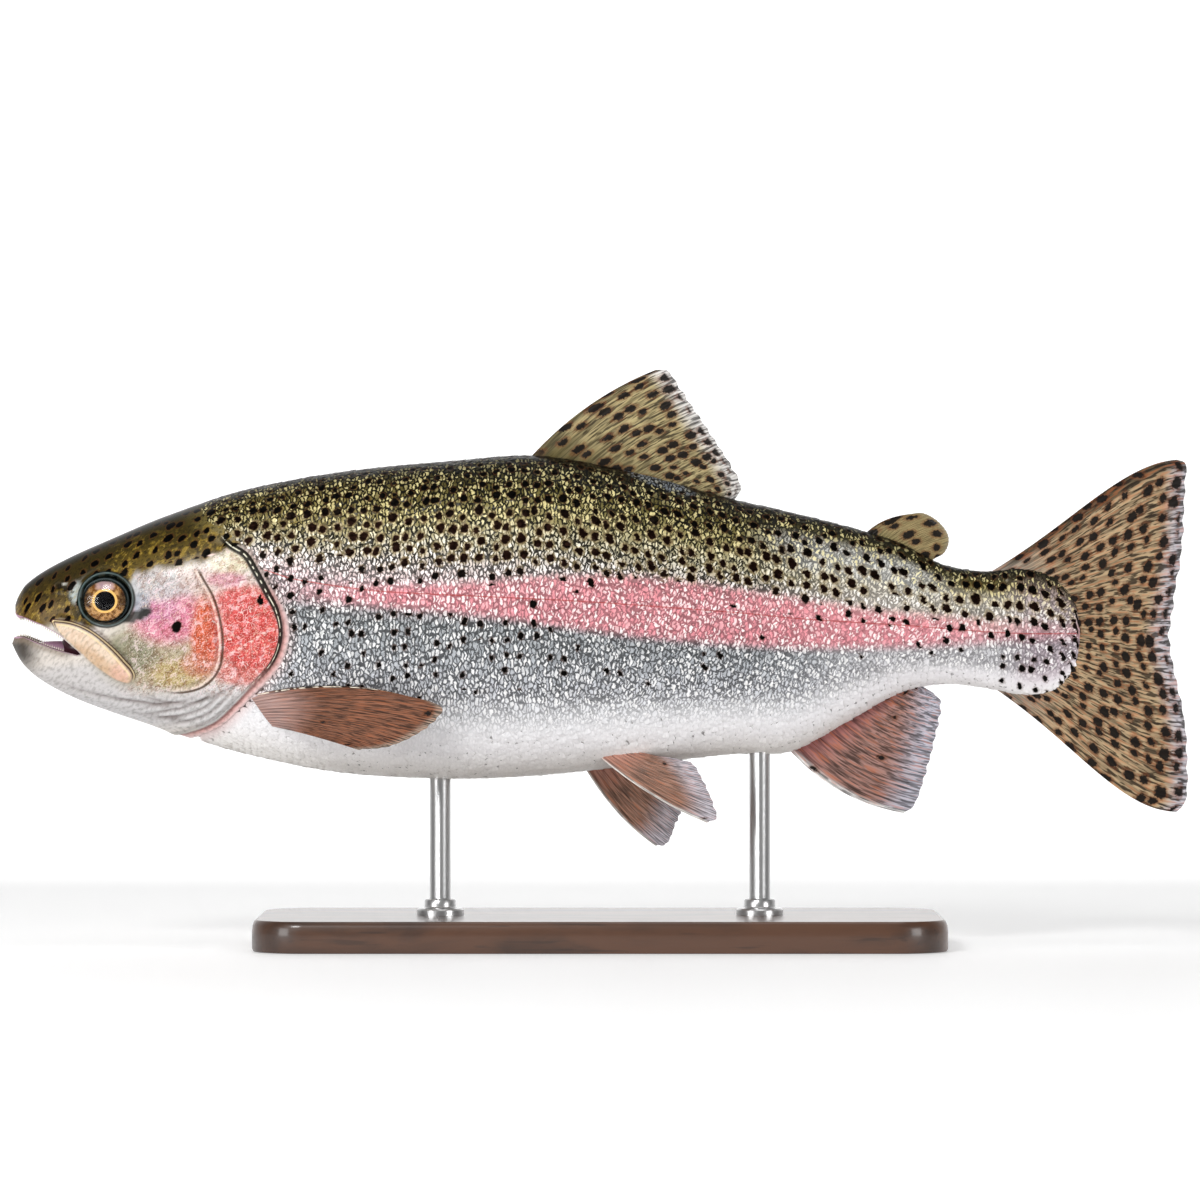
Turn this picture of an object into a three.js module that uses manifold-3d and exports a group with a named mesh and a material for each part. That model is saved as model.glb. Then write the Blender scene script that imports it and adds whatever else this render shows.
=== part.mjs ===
// Rainbow trout, life size, on a display stand. Millimetres, +Z up.
// The fish faces -X and its left side faces -Y.
// Its own frame has x behind the snout tip and z above the body axis.
import * as THREE from 'three';
import { LoftGeometry } from 'three/addons/geometries/LoftGeometry.js';
import { mergeVertices } from 'three/addons/utils/BufferGeometryUtils.js';
import Module from 'manifold-3d';

const wasm = await Module();
wasm.setup();

// ---------- driving sizes ----------

const TOTAL_LENGTH = 450;
const AXIS_HEIGHT = 123;      // body axis above the floor
const GAP = 0.3;              // thin cut between neighbouring nodes
const GILL_COVER_DEPTH = 4.5; // thickness of each gill cover
const MAXILLA_DEPTH = 2.6;    // thickness of each upper-jaw plate

const BASE = { length: 262, width: 112, height: 12, corner: 20, edge: 2 };
const ROD_RADIUS = 4;
const ROD_PLACES = { front: 164, rear: 286 };  // behind the snout tip
const ROD_INSIDE = 14;                         // the cut takes this much back off

const CLEAR = 80;             // further from the body axis than any of the body's surface
const AHEAD = -10;            // ahead of the snout tip
const BEHIND = 460;           // behind the tail

const BODY_RINGS = 36;
const RINGS_AT_ENDS = 0.45;   // 0 spaces the rings evenly, 1 crowds them at both ends
const RINGS_AT_SNOUT = 0.35;  // first spacing as a share of the even one
const HEAD_RINGS = { first: 12, spacing: 16, count: 8 };
const BODY_TURNS = 16;        // points from back to belly on each side of a ring
const HEAD_TURNS = 12;
const LEAST_REACH = 0.2;      // a ring moved inwards never shrinks below this
const SHARPEST = 0.5;         // limits how far a widened outline's sharp corners move
const GILL_COVER_POINTS = 28;
const MAXILLA_POINTS = 22;
const EYE_GRID = [18, 10];    // divisions around and down
const MOUTH_GRID = [14, 8];
const ROD_FACETS = 20;
const CORNER_SEGMENTS = 5;    // around each corner of the base
const FIN_SIDE_THICKNESS = 0.45;  // at a fin's front and rear, as a share of its middle
const FIN_SAMPLES = [0.1, 0.9];   // shares of a fin between which its flat direction is taken

// Stations of the body from snout to tail: place, top, bottom, half width,
// height of the widest point, fullness above and below it (2 is an ellipse).
const STATIONS = [
  [0.0, -4.0, -9.4, 3.0, -6.0, 2.0, 2.0],
  [1.2, 8.6, -12.0, 5.6, -1.5, 2.1, 2.0],
  [3.4, 13.2, -14.8, 8.2, -1.0, 2.2, 2.0],
  [10.3, 19.2, -21.0, 12.6, -0.5, 2.3, 2.0],
  [21.8, 25.6, -27.5, 16.6, 0.0, 2.4, 2.0],
  [37.0, 32.4, -33.5, 20.4, 0.0, 2.4, 2.1],
  [58.4, 41.4, -40.5, 25.6, -1.0, 2.3, 2.2],
  [88.2, 51.3, -49.6, 29.4, -1.0, 2.2, 2.3],
  [125.7, 58.4, -57.0, 31.6, 1.0, 2.1, 2.3],
  [168.5, 62.7, -59.4, 32.2, 2.0, 2.1, 2.3],
  [200.6, 64.6, -58.2, 31.2, 2.0, 2.1, 2.2],
  [235.7, 58.8, -54.6, 28.0, 1.0, 2.1, 2.2],
  [275.4, 48.2, -50.0, 23.2, -1.0, 2.1, 2.1],
  [298.0, 43.0, -48.8, 20.0, -2.0, 2.1, 2.0],
  [319.7, 37.6, -37.6, 16.8, -1.0, 2.1, 2.0],
  [340.0, 31.2, -26.4, 13.8, 0.0, 2.1, 2.1],
  [356.0, 23.2, -23.2, 11.6, 0.0, 2.1, 2.1],
  [371.7, 20.5, -24.6, 9.4, -1.0, 2.1, 2.1],
  [386.0, 21.6, -27.4, 6.4, -2.5, 2.1, 2.1],
  [397.0, 19.4, -26.4, 4.2, -3.5, 2.1, 2.1],
  [404.0, 13.4, -21.4, 2.9, -4.0, 2.1, 2.1],
  [409.4, 4.0, -12.4, 1.7, -4.2, 2.0, 2.0],
];
const [PLACE, TOP, BOTTOM, HALF_WIDTH, WIDEST, FULL_UP, FULL_DOWN] = [0, 1, 2, 3, 4, 5, 6];

const EYE = { x: 37.2, z: 8.8, long: 10.2, high: 9.0, deep: 6.0, sunk: 3.6 };
const TONGUE = { x: 20, z: -11.2, long: 12, wide: 6.2, high: 3.2 };
const MOUTH_HOLLOW = { x: 20, z: -8.2, long: 17, wide: 10.5, high: 5.4 };

const COLOURS = {
  head: '#8a7c4a', cheek: '#d8887e', jaw: '#d6cec6', maxilla: '#d2bfa8', eye: '#3a2c16',
  tongue: '#b08a9a', trunk: '#9c9a86', tail: '#a39a90', fin: '#93835f',
  belly_fin: '#9c7468', base: '#3a261a', rod: '#b8b8b8',
};

// ---------- smooth values along the body ----------

// Cubic Hermite interpolation of one station column, with slopes from the neighbours.
function along(column, x) {
  const last = STATIONS.length - 1;
  const place = THREE.MathUtils.clamp(x, STATIONS[0][PLACE], STATIONS[last][PLACE]);
  let i = 0;
  while (i < last - 1 && STATIONS[i + 1][PLACE] < place) i++;
  const slope = (j) => {
    const a = STATIONS[Math.max(j - 1, 0)];
    const b = STATIONS[Math.min(j + 1, last)];
    return (b[column] - a[column]) / (b[PLACE] - a[PLACE]);
  };
  const [from, to] = [STATIONS[i], STATIONS[i + 1]];
  const span = to[PLACE] - from[PLACE];
  const t = (place - from[PLACE]) / span;
  return (2 * t ** 3 - 3 * t ** 2 + 1) * from[column]
    + (t ** 3 - 2 * t ** 2 + t) * span * slope(i)
    + (3 * t ** 2 - 2 * t ** 3) * to[column]
    + (t ** 3 - t ** 2) * span * slope(i + 1);
}

// One point of the body's side: turn goes from 0 at the back to 1 at the belly,
// side is -1 on the left and 1 on the right, grow moves the surface outwards.
function bodyPoint(x, turn, side, grow = 0) {
  const angle = turn * Math.PI;
  const upper = angle < Math.PI / 2;
  const power = 2 / along(upper ? FULL_UP : FULL_DOWN, x);
  const widest = along(WIDEST, x);
  const reach = upper ? along(TOP, x) - widest + grow : widest - along(BOTTOM, x) + grow;
  const rise = Math.abs(Math.cos(angle)) ** power * (upper ? 1 : -1);
  const halfWidth = Math.max(along(HALF_WIDTH, x) + grow, LEAST_REACH);
  const height = Math.max(reach, LEAST_REACH);
  return new THREE.Vector3(x, side * halfWidth * Math.sin(angle) ** power, widest + height * rise);
}

// Half width of the body at a place and height.
function halfWidthAt(x, z) {
  const widest = along(WIDEST, x);
  const upper = z > widest;
  const reach = upper ? along(TOP, x) - widest : widest - along(BOTTOM, x);
  const fullness = along(upper ? FULL_UP : FULL_DOWN, x);
  const share = Math.min(Math.abs(z - widest) / reach, 1);
  return along(HALF_WIDTH, x) * (1 - share ** fullness) ** (1 / fullness);
}

// ---------- solids: three.js geometry to manifold and back ----------

function solidOf(geometry) {
  const bare = new THREE.BufferGeometry().copy(geometry);
  bare.deleteAttribute('normal');
  bare.deleteAttribute('uv');
  const merged = mergeVertices(bare, 1e-4);
  return new wasm.Manifold(new wasm.Mesh({
    numProp: 3,
    vertProperties: new Float32Array(merged.attributes.position.array),
    triVerts: new Uint32Array(merged.index.array),
  }));
}

function geometryOf(solid) {
  const { vertProperties, triVerts } = solid.getMesh();
  const geometry = new THREE.BufferGeometry();
  geometry.setAttribute('position', new THREE.BufferAttribute(vertProperties, 3));
  geometry.setIndex(new THREE.BufferAttribute(triVerts, 1));
  geometry.computeVertexNormals();
  return geometry;
}

// A side-view outline carried straight across the fish.
function sidePrism(outline) {
  const shape = new THREE.Shape(outline.map(([x, z]) => new THREE.Vector2(x, z)));
  const prism = new THREE.ExtrudeGeometry(shape, { depth: 2 * CLEAR, bevelEnabled: false });
  prism.rotateX(Math.PI / 2);
  prism.translate(0, CLEAR, 0);
  return solidOf(prism);
}

// The outline moved outwards by a distance, along the mean of each corner's two normals.
function widened(outline, distance) {
  const area = outline.reduce((sum, [x, z], i) => {
    const [nextX, nextZ] = outline[(i + 1) % outline.length];
    return sum + x * nextZ - nextX * z;
  }, 0);
  const outward = Math.sign(area) * distance;
  return outline.map(([x, z], i) => {
    const here = new THREE.Vector2(x, z);
    const before = new THREE.Vector2(...outline.at(i - 1));
    const after = new THREE.Vector2(...outline[(i + 1) % outline.length]);
    const edgeIn = here.clone().sub(before).normalize();
    const edgeOut = after.clone().sub(here).normalize();
    const normal = new THREE.Vector2(edgeIn.y + edgeOut.y, -edgeIn.x - edgeOut.x).normalize();
    const stretch = Math.max(normal.dot(new THREE.Vector2(edgeIn.y, -edgeIn.x)), SHARPEST);
    return [x + normal.x * outward / stretch, z + normal.y * outward / stretch];
  });
}

// Smooth closed outline through a few hand-set corners.
function rounded(corners, steps) {
  const curve = new THREE.CatmullRomCurve3(corners.map(([x, z]) => new THREE.Vector3(x, 0, z)), true);
  return curve.getSpacedPoints(steps).slice(0, -1).map((p) => [p.x, p.z]);
}

function ellipsoid(centre, radii, grid) {
  const ball = new THREE.SphereGeometry(1, ...grid);
  ball.scale(...radii);
  ball.translate(...centre);
  return solidOf(ball);
}

// Everything on one side of the fish's middle plane.
function sideOf(side) {
  const half = new THREE.BoxGeometry(BEHIND - AHEAD, CLEAR, 2 * CLEAR);
  half.translate((AHEAD + BEHIND) / 2, side * CLEAR / 2, 0);
  return solidOf(half);
}

// ---------- the body in one piece ----------

// Rings are close together at the blunt snout and the rounded end of the tail stalk.
function bodyRings() {
  const [first, last] = [STATIONS[0][PLACE], STATIONS.at(-1)[PLACE]];
  return Array.from({ length: BODY_RINGS }, (_, i) => {
    const t = i / (BODY_RINGS - 1);
    const eased = THREE.MathUtils.lerp(t, 0.5 - 0.5 * Math.cos(Math.PI * t), RINGS_AT_ENDS);
    const front = THREE.MathUtils.lerp(RINGS_AT_SNOUT, 1, Math.min(2 * t, 1));
    return first + (last - first) * eased * front;
  });
}

function bodySolid(grow, places = bodyRings(), turns = BODY_TURNS) {
  const sections = places.map((x) => {
    const left = Array.from({ length: turns + 1 }, (_, i) => bodyPoint(x, i / turns, -1, grow));
    const right = Array.from({ length: turns - 1 }, (_, i) => bodyPoint(x, (turns - 1 - i) / turns, 1, grow));
    return [...left, ...right];
  });
  sections[0].forEach((p) => { p.x -= grow; });
  sections.at(-1).forEach((p) => { p.x += grow; });
  return solidOf(new LoftGeometry(sections, { closed: true, capStart: true, capEnd: true }));
}

const body = bodySolid(0);
const bodyWithGap = bodySolid(GAP);

// The inside that the gill covers and upper-jaw plates lie on.
const headRings = Array.from({ length: HEAD_RINGS.count }, (_, i) => HEAD_RINGS.first + HEAD_RINGS.spacing * i);
const gillCore = bodySolid(-GILL_COVER_DEPTH, headRings, HEAD_TURNS);
const gillCoreWithGap = bodySolid(-GILL_COVER_DEPTH - GAP, headRings, HEAD_TURNS);
const maxillaCore = bodySolid(-MAXILLA_DEPTH, headRings, HEAD_TURNS);
const maxillaCoreWithGap = bodySolid(-MAXILLA_DEPTH - GAP, headRings, HEAD_TURNS);

// ---------- outlines of the head's parts, in side view ----------

// Gill opening, from the nape down behind the gill cover to the throat.
const GILL_EDGE = [
  [79, CLEAR], [81, 48], [82, 36], [88, 29], [96, 20], [101.5, 10], [105, -2.7], [104, -9.5],
  [101, -14.5], [96, -19.5], [89, -24], [80, -30], [72, -38], [66, -48], [64, -CLEAR],
];
const aheadOfGills = (gap) => [[AHEAD, CLEAR], ...GILL_EDGE.map(([x, z]) => [x + gap, z]), [AHEAD, -CLEAR]];

const GILL_COVER = rounded([
  [74, 21.5], [82.5, 30], [90, 26.5], [98.5, 12], [103.6, -1], [101.5, -11], [94.5, -19.5],
  [86, -23.5], [76, -23], [80.5, -12], [80.5, 2], [77.5, 13],
], GILL_COVER_POINTS);

const LOWER_JAW = [
  [-4, -3.4], [3, -3.8], [10.3, -6.9], [18, -9.6], [28.6, -12.2], [36, -17.6], [41, -22.6],
  [41.5, -36], [38, -50], [-4, -50],
];

const MOUTH_GAP = [
  [-4, 7.5], [1.0, 5.2], [3.4, 3.0], [8.0, 1.1], [12.6, -0.8], [19.5, -4.6], [27.4, -11.2],
  [18, -8.0], [12.6, -6.9], [8.0, -5.4], [3.4, -3.6], [1.0, -4.4], [-4, -5.4],
];

const MAXILLA = rounded([
  [19, 1.8], [27, 1.0], [32.2, -1.6], [39.8, -8.0], [46.8, -15.8], [48.2, -19.6], [44.6, -21.4],
  [40.6, -20.4], [34.4, -16.8], [28.0, -11.4], [22.6, -5.4],
], MAXILLA_POINTS);

// The tail stalk starts at the vent.
const VENT_LINE = [[296, CLEAR], [299, 0], [300, -CLEAR]];
const behindVent = (gap) => [...VENT_LINE.map(([x, z]) => [x - gap, z]), [BEHIND, -CLEAR], [BEHIND, CLEAR]];

// ---------- head, jaws, gill covers, eyes, tongue ----------

const eyeSolids = {};
const eyeSockets = {};
for (const side of [-1, 1]) {
  const y = side * (halfWidthAt(EYE.x, EYE.z) - EYE.sunk);
  const centre = [EYE.x, y, EYE.z];
  eyeSolids[side] = ellipsoid(centre, [EYE.long, EYE.deep, EYE.high], EYE_GRID);
  eyeSockets[side] = ellipsoid(centre, [EYE.long + GAP, EYE.deep + GAP, EYE.high + GAP], EYE_GRID);
}

const hollow = [MOUTH_HOLLOW.long, MOUTH_HOLLOW.wide, MOUTH_HOLLOW.high];
const hollowCentre = [MOUTH_HOLLOW.x, 0, MOUTH_HOLLOW.z];
const mouthHollow = ellipsoid(hollowCentre, hollow, MOUTH_GRID);
const tongueBed = ellipsoid(hollowCentre, hollow.map((r) => r - GAP), MOUTH_GRID);
const tongueShape = ellipsoid([TONGUE.x, 0, TONGUE.z], [TONGUE.long, TONGUE.wide, TONGUE.high], MOUTH_GRID);

const gillPocket = sidePrism(widened(GILL_COVER, GAP)).subtract(gillCoreWithGap);
const maxillaPocket = sidePrism(widened(MAXILLA, GAP)).subtract(maxillaCoreWithGap);

const headSolid = body.intersect(sidePrism(aheadOfGills(0)))
  .subtract(sidePrism(LOWER_JAW))
  .subtract(sidePrism(MOUTH_GAP))
  .subtract(mouthHollow)
  .subtract(gillPocket)
  .subtract(maxillaPocket)
  .subtract(eyeSockets[-1])
  .subtract(eyeSockets[1]);

const jawOutline = widened(LOWER_JAW, -GAP);
const jawSolid = body.intersect(sidePrism(jawOutline))
  .subtract(sidePrism(MOUTH_GAP))
  .subtract(mouthHollow)
  .subtract(maxillaPocket);

const gillCovers = body.intersect(sidePrism(GILL_COVER)).subtract(gillCore);
const maxillae = body.intersect(sidePrism(MAXILLA)).subtract(maxillaCore);

// ---------- trunk and tail stalk ----------

const trunkSolid = body.subtract(sidePrism(aheadOfGills(GAP))).subtract(sidePrism(behindVent(GAP)));
const stalkSolid = body.intersect(sidePrism(behindVent(0)));

// ---------- fins ----------

const curveOf = (points) => new THREE.CatmullRomCurve3(points.map((p) => new THREE.Vector3(...p)));

// A fin is a thin sheet between its base line and its free edge. Rays run from base
// to edge, and each is bowed: by bow[0] at the front, by bow[1] at the rear, most at the
// share `peak` of its length.
function finSolid({ base, edge, bow, thick, thin, peak = 0.5, rays = 12, steps = 5 }) {
  const [baseCurve, edgeCurve] = [curveOf(base), curveOf(edge)];
  const [frontBow, rearBow] = bow.map((b) => new THREE.Vector3(...b));
  const power = peak / (1 - peak);
  const bend = (u) => u ** power * (1 - u) / (peak ** power * (1 - peak));
  const middle = (u, v) => baseCurve.getPointAt(v)
    .lerp(edgeCurve.getPointAt(v), u)
    .addScaledVector(frontBow.clone().lerp(rearBow, v), bend(u));
  const [near, far] = FIN_SAMPLES;
  const alongRays = middle(far, 0.5).sub(middle(near, 0.5));
  const acrossRays = middle(0.5, far).sub(middle(0.5, near));
  const flat = new THREE.Vector3().crossVectors(alongRays, acrossRays).normalize();
  // A box of one layer: x counts across the rays, y from face to face, z along the rays.
  const sheet = new THREE.BoxGeometry(1, 1, 1, rays, 1, steps);
  const { position } = sheet.attributes;
  for (let i = 0; i < position.count; i++) {
    const [v, face, u] = [position.getX(i) + 0.5, 2 * position.getY(i), position.getZ(i) + 0.5];
    const middleShare = Math.sqrt(Math.max(Math.sin(Math.PI * v), 0));
    const swell = THREE.MathUtils.lerp(FIN_SIDE_THICKNESS, 1, middleShare);
    const half = THREE.MathUtils.lerp(thick, thin, Math.sqrt(u)) / 2;
    position.setXYZ(i, ...middle(u, v).addScaledVector(flat, face * half * swell));
  }
  return solidOf(sheet);
}

const FINS = {
  dorsal_fin: {
    base: [[196, 0, 61], [235, 0, 52], [264, 0, 44]],
    edge: [
      [246.4, 0, 97.2], [250.8, 0, 97.2], [256, 0, 90.2], [266.3, 0, 74.6], [275.6, 0, 60.6],
      [279.2, 0, 51.6], [276.6, 0, 47.8],
    ],
    bow: [[-1.8, 0, 3.4], [0, 0, 0]], thick: 3.4, thin: 1.0,
  },
  adipose_fin: {
    base: [[325, 0, 33], [350, 0, 21]],
    edge: [[343, 0, 42.0], [348.5, 0, 42.4], [355, 0, 38.6], [358.4, 0, 32.6], [356.4, 0, 27], [352, 0, 25]],
    bow: [[-1.4, 0, 1.6], [0, 0, 0]], thick: 3.0, thin: 1.2, rays: 7, steps: 3,
  },
  tail_fin: {
    base: [[371, 0, 18], [386, 0, -2], [372, 0, -22]],
    edge: [
      [445.4, 0, 62.8], [448.9, 0, 61.4], [449.0, 0, 54], [447.4, 0, 28], [444.2, 0, 5],
      [442.9, 0, -5], [445.4, 0, -19], [448.6, 0, -35], [449.8, 0, -50], [449.7, 0, -62],
      [448.4, 0, -69], [445.2, 0, -71.7],
    ],
    bow: [[-0.6, 0, 4.6], [-0.8, 0, -5.8]], peak: 0.73, thick: 4.0, thin: 1.0, rays: 15,
  },
  anal_fin: {
    base: [[293, 0, -43], [320, 0, -32], [342, 0, -20]],
    edge: [
      [341, 0, -72.2], [344.6, 0, -70.4], [348.6, 0, -61], [351.8, 0, -50], [354.6, 0, -38],
      [355.4, 0, -29.4], [352, 0, -26],
    ],
    bow: [[-2.2, 0, -5.0], [0, 0, 0]], thick: 3.2, thin: 1.0, rays: 10,
  },
};

const LEFT_PELVIC = {
  base: [[219.5, -10, -46], [232, -11, -48.5], [240, -10.5, -49]],
  edge: [
    [265.4, -24, -75.0], [269.4, -24, -73.6], [268.2, -23, -68], [264.8, -21.5, -60],
    [260, -20, -52.4], [256, -18.5, -51],
  ],
  bow: [[-0.6, -1.5, -2.4], [0, -1, 0]], thick: 2.8, thin: 0.9, rays: 8, steps: 4,
};
const RIGHT_PELVIC = {
  base: [[217, 7, -51], [231, 10, -51], [239, 9.5, -50.4]],
  edge: [[246.4, 19, -85.4], [250.6, 19, -84.8], [254.6, 19.5, -77], [257, 19.5, -69], [254, 18.5, -66]],
  bow: [[-1.5, 1.5, -2.6], [0, 1, 0]], thick: 2.8, thin: 0.9, rays: 8, steps: 4,
};
const PECTORAL = (side) => ({
  base: [[93, side * 25.2, -26.8], [97.5, side * 24.0, -32.8], [102, side * 21.3, -38.8]],
  edge: [
    [153, side * 40, -26.6], [163, side * 41.5, -29.4], [166.4, side * 42, -32], [160, side * 41, -39],
    [147, side * 38.5, -45.6], [134, side * 35, -47.4],
  ],
  bow: [[0, side * 2.4, 3.6], [0, side * 2.4, 0.6]], thick: 2.8, thin: 0.9, rays: 9,
});

// ---------- stand ----------

function baseGeometry() {
  const [halfLength, halfWidth] = [BASE.length / 2 - BASE.edge, BASE.width / 2 - BASE.edge];
  const shape = new THREE.Shape();
  const corners = [[1, 1], [-1, 1], [-1, -1], [1, -1]];
  corners.forEach(([sx, sy], i) => {
    const centre = [sx * (halfLength - BASE.corner), sy * (halfWidth - BASE.corner)];
    shape.absarc(...centre, BASE.corner, i * Math.PI / 2, (i + 1) * Math.PI / 2);
  });
  const slab = new THREE.ExtrudeGeometry(shape, {
    depth: BASE.height - 2 * BASE.edge, curveSegments: CORNER_SEGMENTS,
    bevelSize: BASE.edge, bevelThickness: BASE.edge, bevelSegments: 1,
  });
  slab.translate(0, 0, BASE.edge);
  return slab;
}

function rodSolid(x) {
  const foot = BASE.height + GAP - AXIS_HEIGHT;
  const top = along(BOTTOM, x) + ROD_INSIDE;
  const rod = new THREE.CylinderGeometry(ROD_RADIUS, ROD_RADIUS, top - foot, ROD_FACETS);
  rod.rotateX(Math.PI / 2);
  rod.translate(x, 0, (top + foot) / 2);
  return solidOf(rod).subtract(bodyWithGap);
}

// ---------- the scene graph ----------

function node(name, geometry, colour, roughness = 0.4, metalness = 0) {
  const mesh = new THREE.Mesh(geometry, new THREE.MeshStandardMaterial({ color: colour, roughness, metalness }));
  mesh.name = name;
  return mesh;
}

const fish = new THREE.Group();
fish.position.set(-TOTAL_LENGTH / 2, 0, AXIS_HEIGHT);
fish.add(
  node('head', geometryOf(headSolid), COLOURS.head),
  node('lower_jaw', geometryOf(jawSolid), COLOURS.jaw),
  node('tongue', geometryOf(tongueShape.intersect(tongueBed)), COLOURS.tongue, 0.3),
  node('trunk', geometryOf(trunkSolid), COLOURS.trunk),
  node('tail_stalk', geometryOf(stalkSolid), COLOURS.tail),
);
for (const [side, name] of [[-1, 'left'], [1, 'right']]) {
  const half = sideOf(side);
  const pectoral = finSolid(PECTORAL(side));
  const pelvic = finSolid(side < 0 ? LEFT_PELVIC : RIGHT_PELVIC);
  fish.add(
    node(`gill_cover_${name}`, geometryOf(gillCovers.intersect(half)), COLOURS.cheek),
    node(`maxilla_${name}`, geometryOf(maxillae.intersect(half)), COLOURS.maxilla),
    node(`eye_${name}`, geometryOf(eyeSolids[side]), COLOURS.eye, 0.05),
    node(`pectoral_fin_${name}`, geometryOf(pectoral.subtract(bodyWithGap)), COLOURS.belly_fin),
    node(`pelvic_fin_${name}`, geometryOf(pelvic.subtract(bodyWithGap)), COLOURS.belly_fin),
  );
}
for (const [name, form] of Object.entries(FINS)) {
  fish.add(node(name, geometryOf(finSolid(form).subtract(bodyWithGap)), COLOURS.fin));
}

const stand = new THREE.Group();
stand.add(node('stand_base', baseGeometry(), COLOURS.base, 0.35));
for (const [name, x] of Object.entries(ROD_PLACES)) {
  fish.add(node(`stand_rod_${name}`, geometryOf(rodSolid(x)), COLOURS.rod, 0.3, 1));
}

const trout = new THREE.Group();
trout.add(fish, stand);

export default trout;
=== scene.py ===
"""A life-size rainbow trout on a display stand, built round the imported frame.

Lengths in this file are millimetres unless a name says otherwise. Places on the fish use its own
frame: x behind the snout tip, z above the body axis, y across it with the left side negative.
Colours are display values from 0 to 255, apart from the sidebar's, which Blender keeps linear.
"""
import math

import bpy
import numpy as np
from bpy.props import FloatProperty, FloatVectorProperty, IntProperty, PointerProperty
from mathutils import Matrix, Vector


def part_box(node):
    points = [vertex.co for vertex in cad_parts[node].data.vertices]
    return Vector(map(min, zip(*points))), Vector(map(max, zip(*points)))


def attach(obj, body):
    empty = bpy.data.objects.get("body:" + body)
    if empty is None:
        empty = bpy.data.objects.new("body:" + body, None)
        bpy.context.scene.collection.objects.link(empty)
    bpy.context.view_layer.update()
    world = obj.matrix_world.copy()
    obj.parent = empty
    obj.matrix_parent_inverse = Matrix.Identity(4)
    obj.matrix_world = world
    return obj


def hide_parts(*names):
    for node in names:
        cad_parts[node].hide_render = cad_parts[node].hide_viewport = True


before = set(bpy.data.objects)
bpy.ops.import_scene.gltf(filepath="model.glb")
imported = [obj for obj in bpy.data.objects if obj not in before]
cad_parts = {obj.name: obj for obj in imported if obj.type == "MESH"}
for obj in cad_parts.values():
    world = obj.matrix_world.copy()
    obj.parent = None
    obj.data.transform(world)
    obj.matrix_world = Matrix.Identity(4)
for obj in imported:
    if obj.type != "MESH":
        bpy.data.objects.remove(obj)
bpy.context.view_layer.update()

bl_info = {
    "name": "Rainbow trout",
    "version": (1, 0, 0),
    "blender": (4, 5, 0),
    "location": "3D View > Sidebar > Trout",
    "description": "Builds the skin, scales, fins, eyes and stand of a life-size trout",
    "category": "Add Mesh",
}

MM = 0.001
EYE_X, EYE_Z = 37.2, 8.8
OPENING_CENTRE, OPENING_RADII = (37.8, 9.5), (9.7, 9.4)
SNOUT_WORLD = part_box("lower_jaw")[0][0]
AXIS_WORLD = (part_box("eye_left")[0][2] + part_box("eye_left")[1][2]) / 2 - EYE_Z * MM
BODY_END = 409.4


# ---- body form

SKIN_INSET = 0.45    # how far the skin lies inside the plain body form, which leaves room for scales

# Place, top, bottom, half width, height of the widest point, fullness above and below it.
STATIONS = np.array([
    [0, -4, -9.4, 3, -6, 2, 2],
    [1.2, 8.6, -12, 5.6, -1.5, 2.1, 2],
    [3.4, 13.2, -14.8, 8.2, -1, 2.2, 2],
    [10.3, 19.2, -21, 12.6, -0.5, 2.3, 2],
    [21.8, 25.6, -27.5, 16.6, 0, 2.4, 2],
    [37, 32.4, -33.5, 20.4, 0, 2.4, 2.1],
    [58.4, 41.4, -40.5, 25.6, -1, 2.3, 2.2],
    [88.2, 51.3, -49.6, 29.4, -1, 2.2, 2.3],
    [125.7, 58.4, -57, 31.6, 1, 2.1, 2.3],
    [168.5, 62.7, -59.4, 32.2, 2, 2.1, 2.3],
    [200.6, 64.6, -58.2, 31.2, 2, 2.1, 2.2],
    [235.7, 58.8, -54.6, 28, 1, 2.1, 2.2],
    [275.4, 48.2, -50, 23.2, -1, 2.1, 2.1],
    [298, 43, -48.8, 20, -2, 2.1, 2],
    [319.7, 37.6, -37.6, 16.8, -1, 2.1, 2],
    [340, 31.2, -26.4, 13.8, 0, 2.1, 2.1],
    [356, 23.2, -23.2, 11.6, 0, 2.1, 2.1],
    [371.7, 20.5, -24.6, 9.4, -1, 2.1, 2.1],
    [386, 21.6, -27.4, 6.4, -2.5, 2.1, 2.1],
    [397, 19.4, -26.4, 4.2, -3.5, 2.1, 2.1],
    [404, 13.4, -21.4, 2.9, -4, 2.1, 2.1],
    [BODY_END, 4, -12.4, 1.7, -4.2, 2, 2],
])
TOP, BOTTOM, HALF_WIDTH, WIDEST, FULL_UP, FULL_DOWN = range(1, 7)


def hermite(t, start, end, lean_in, lean_out):
    """The cubic from start to end over t from 0 to 1 that has the given slopes at its two ends."""
    return ((2 * t**3 - 3 * t**2 + 1) * start + (t**3 - 2 * t**2 + t) * lean_in
            + (3 * t**2 - 2 * t**3) * end + (t**3 - t**2) * lean_out)


def through(points, x):
    """A smooth curve through (place, value) points: cubic Hermite, slopes from the neighbours."""
    points = np.asarray(points, float)
    place, value = points[:, 0], points[:, 1]
    last = len(place) - 1
    before, after = np.maximum(np.arange(last + 1) - 1, 0), np.minimum(np.arange(last + 1) + 1, last)
    slope = (value[after] - value[before]) / (place[after] - place[before])
    x = np.clip(x, place[0], place[-1])
    i = np.clip(np.searchsorted(place, x, side="right") - 1, 0, last - 1)
    span = place[i + 1] - place[i]
    return hermite((x - place[i]) / span, value[i], value[i + 1], span * slope[i], span * slope[i + 1])


def along(column, x):
    """One station column at a place along the body."""
    return through(STATIONS[:, [0, column]], x)


def step(low, high, value):
    """0 below low, 1 above high, and a smooth rise between them."""
    t = np.clip((value - low) / (high - low), 0, 1)
    return t * t * (3 - 2 * t)


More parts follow.
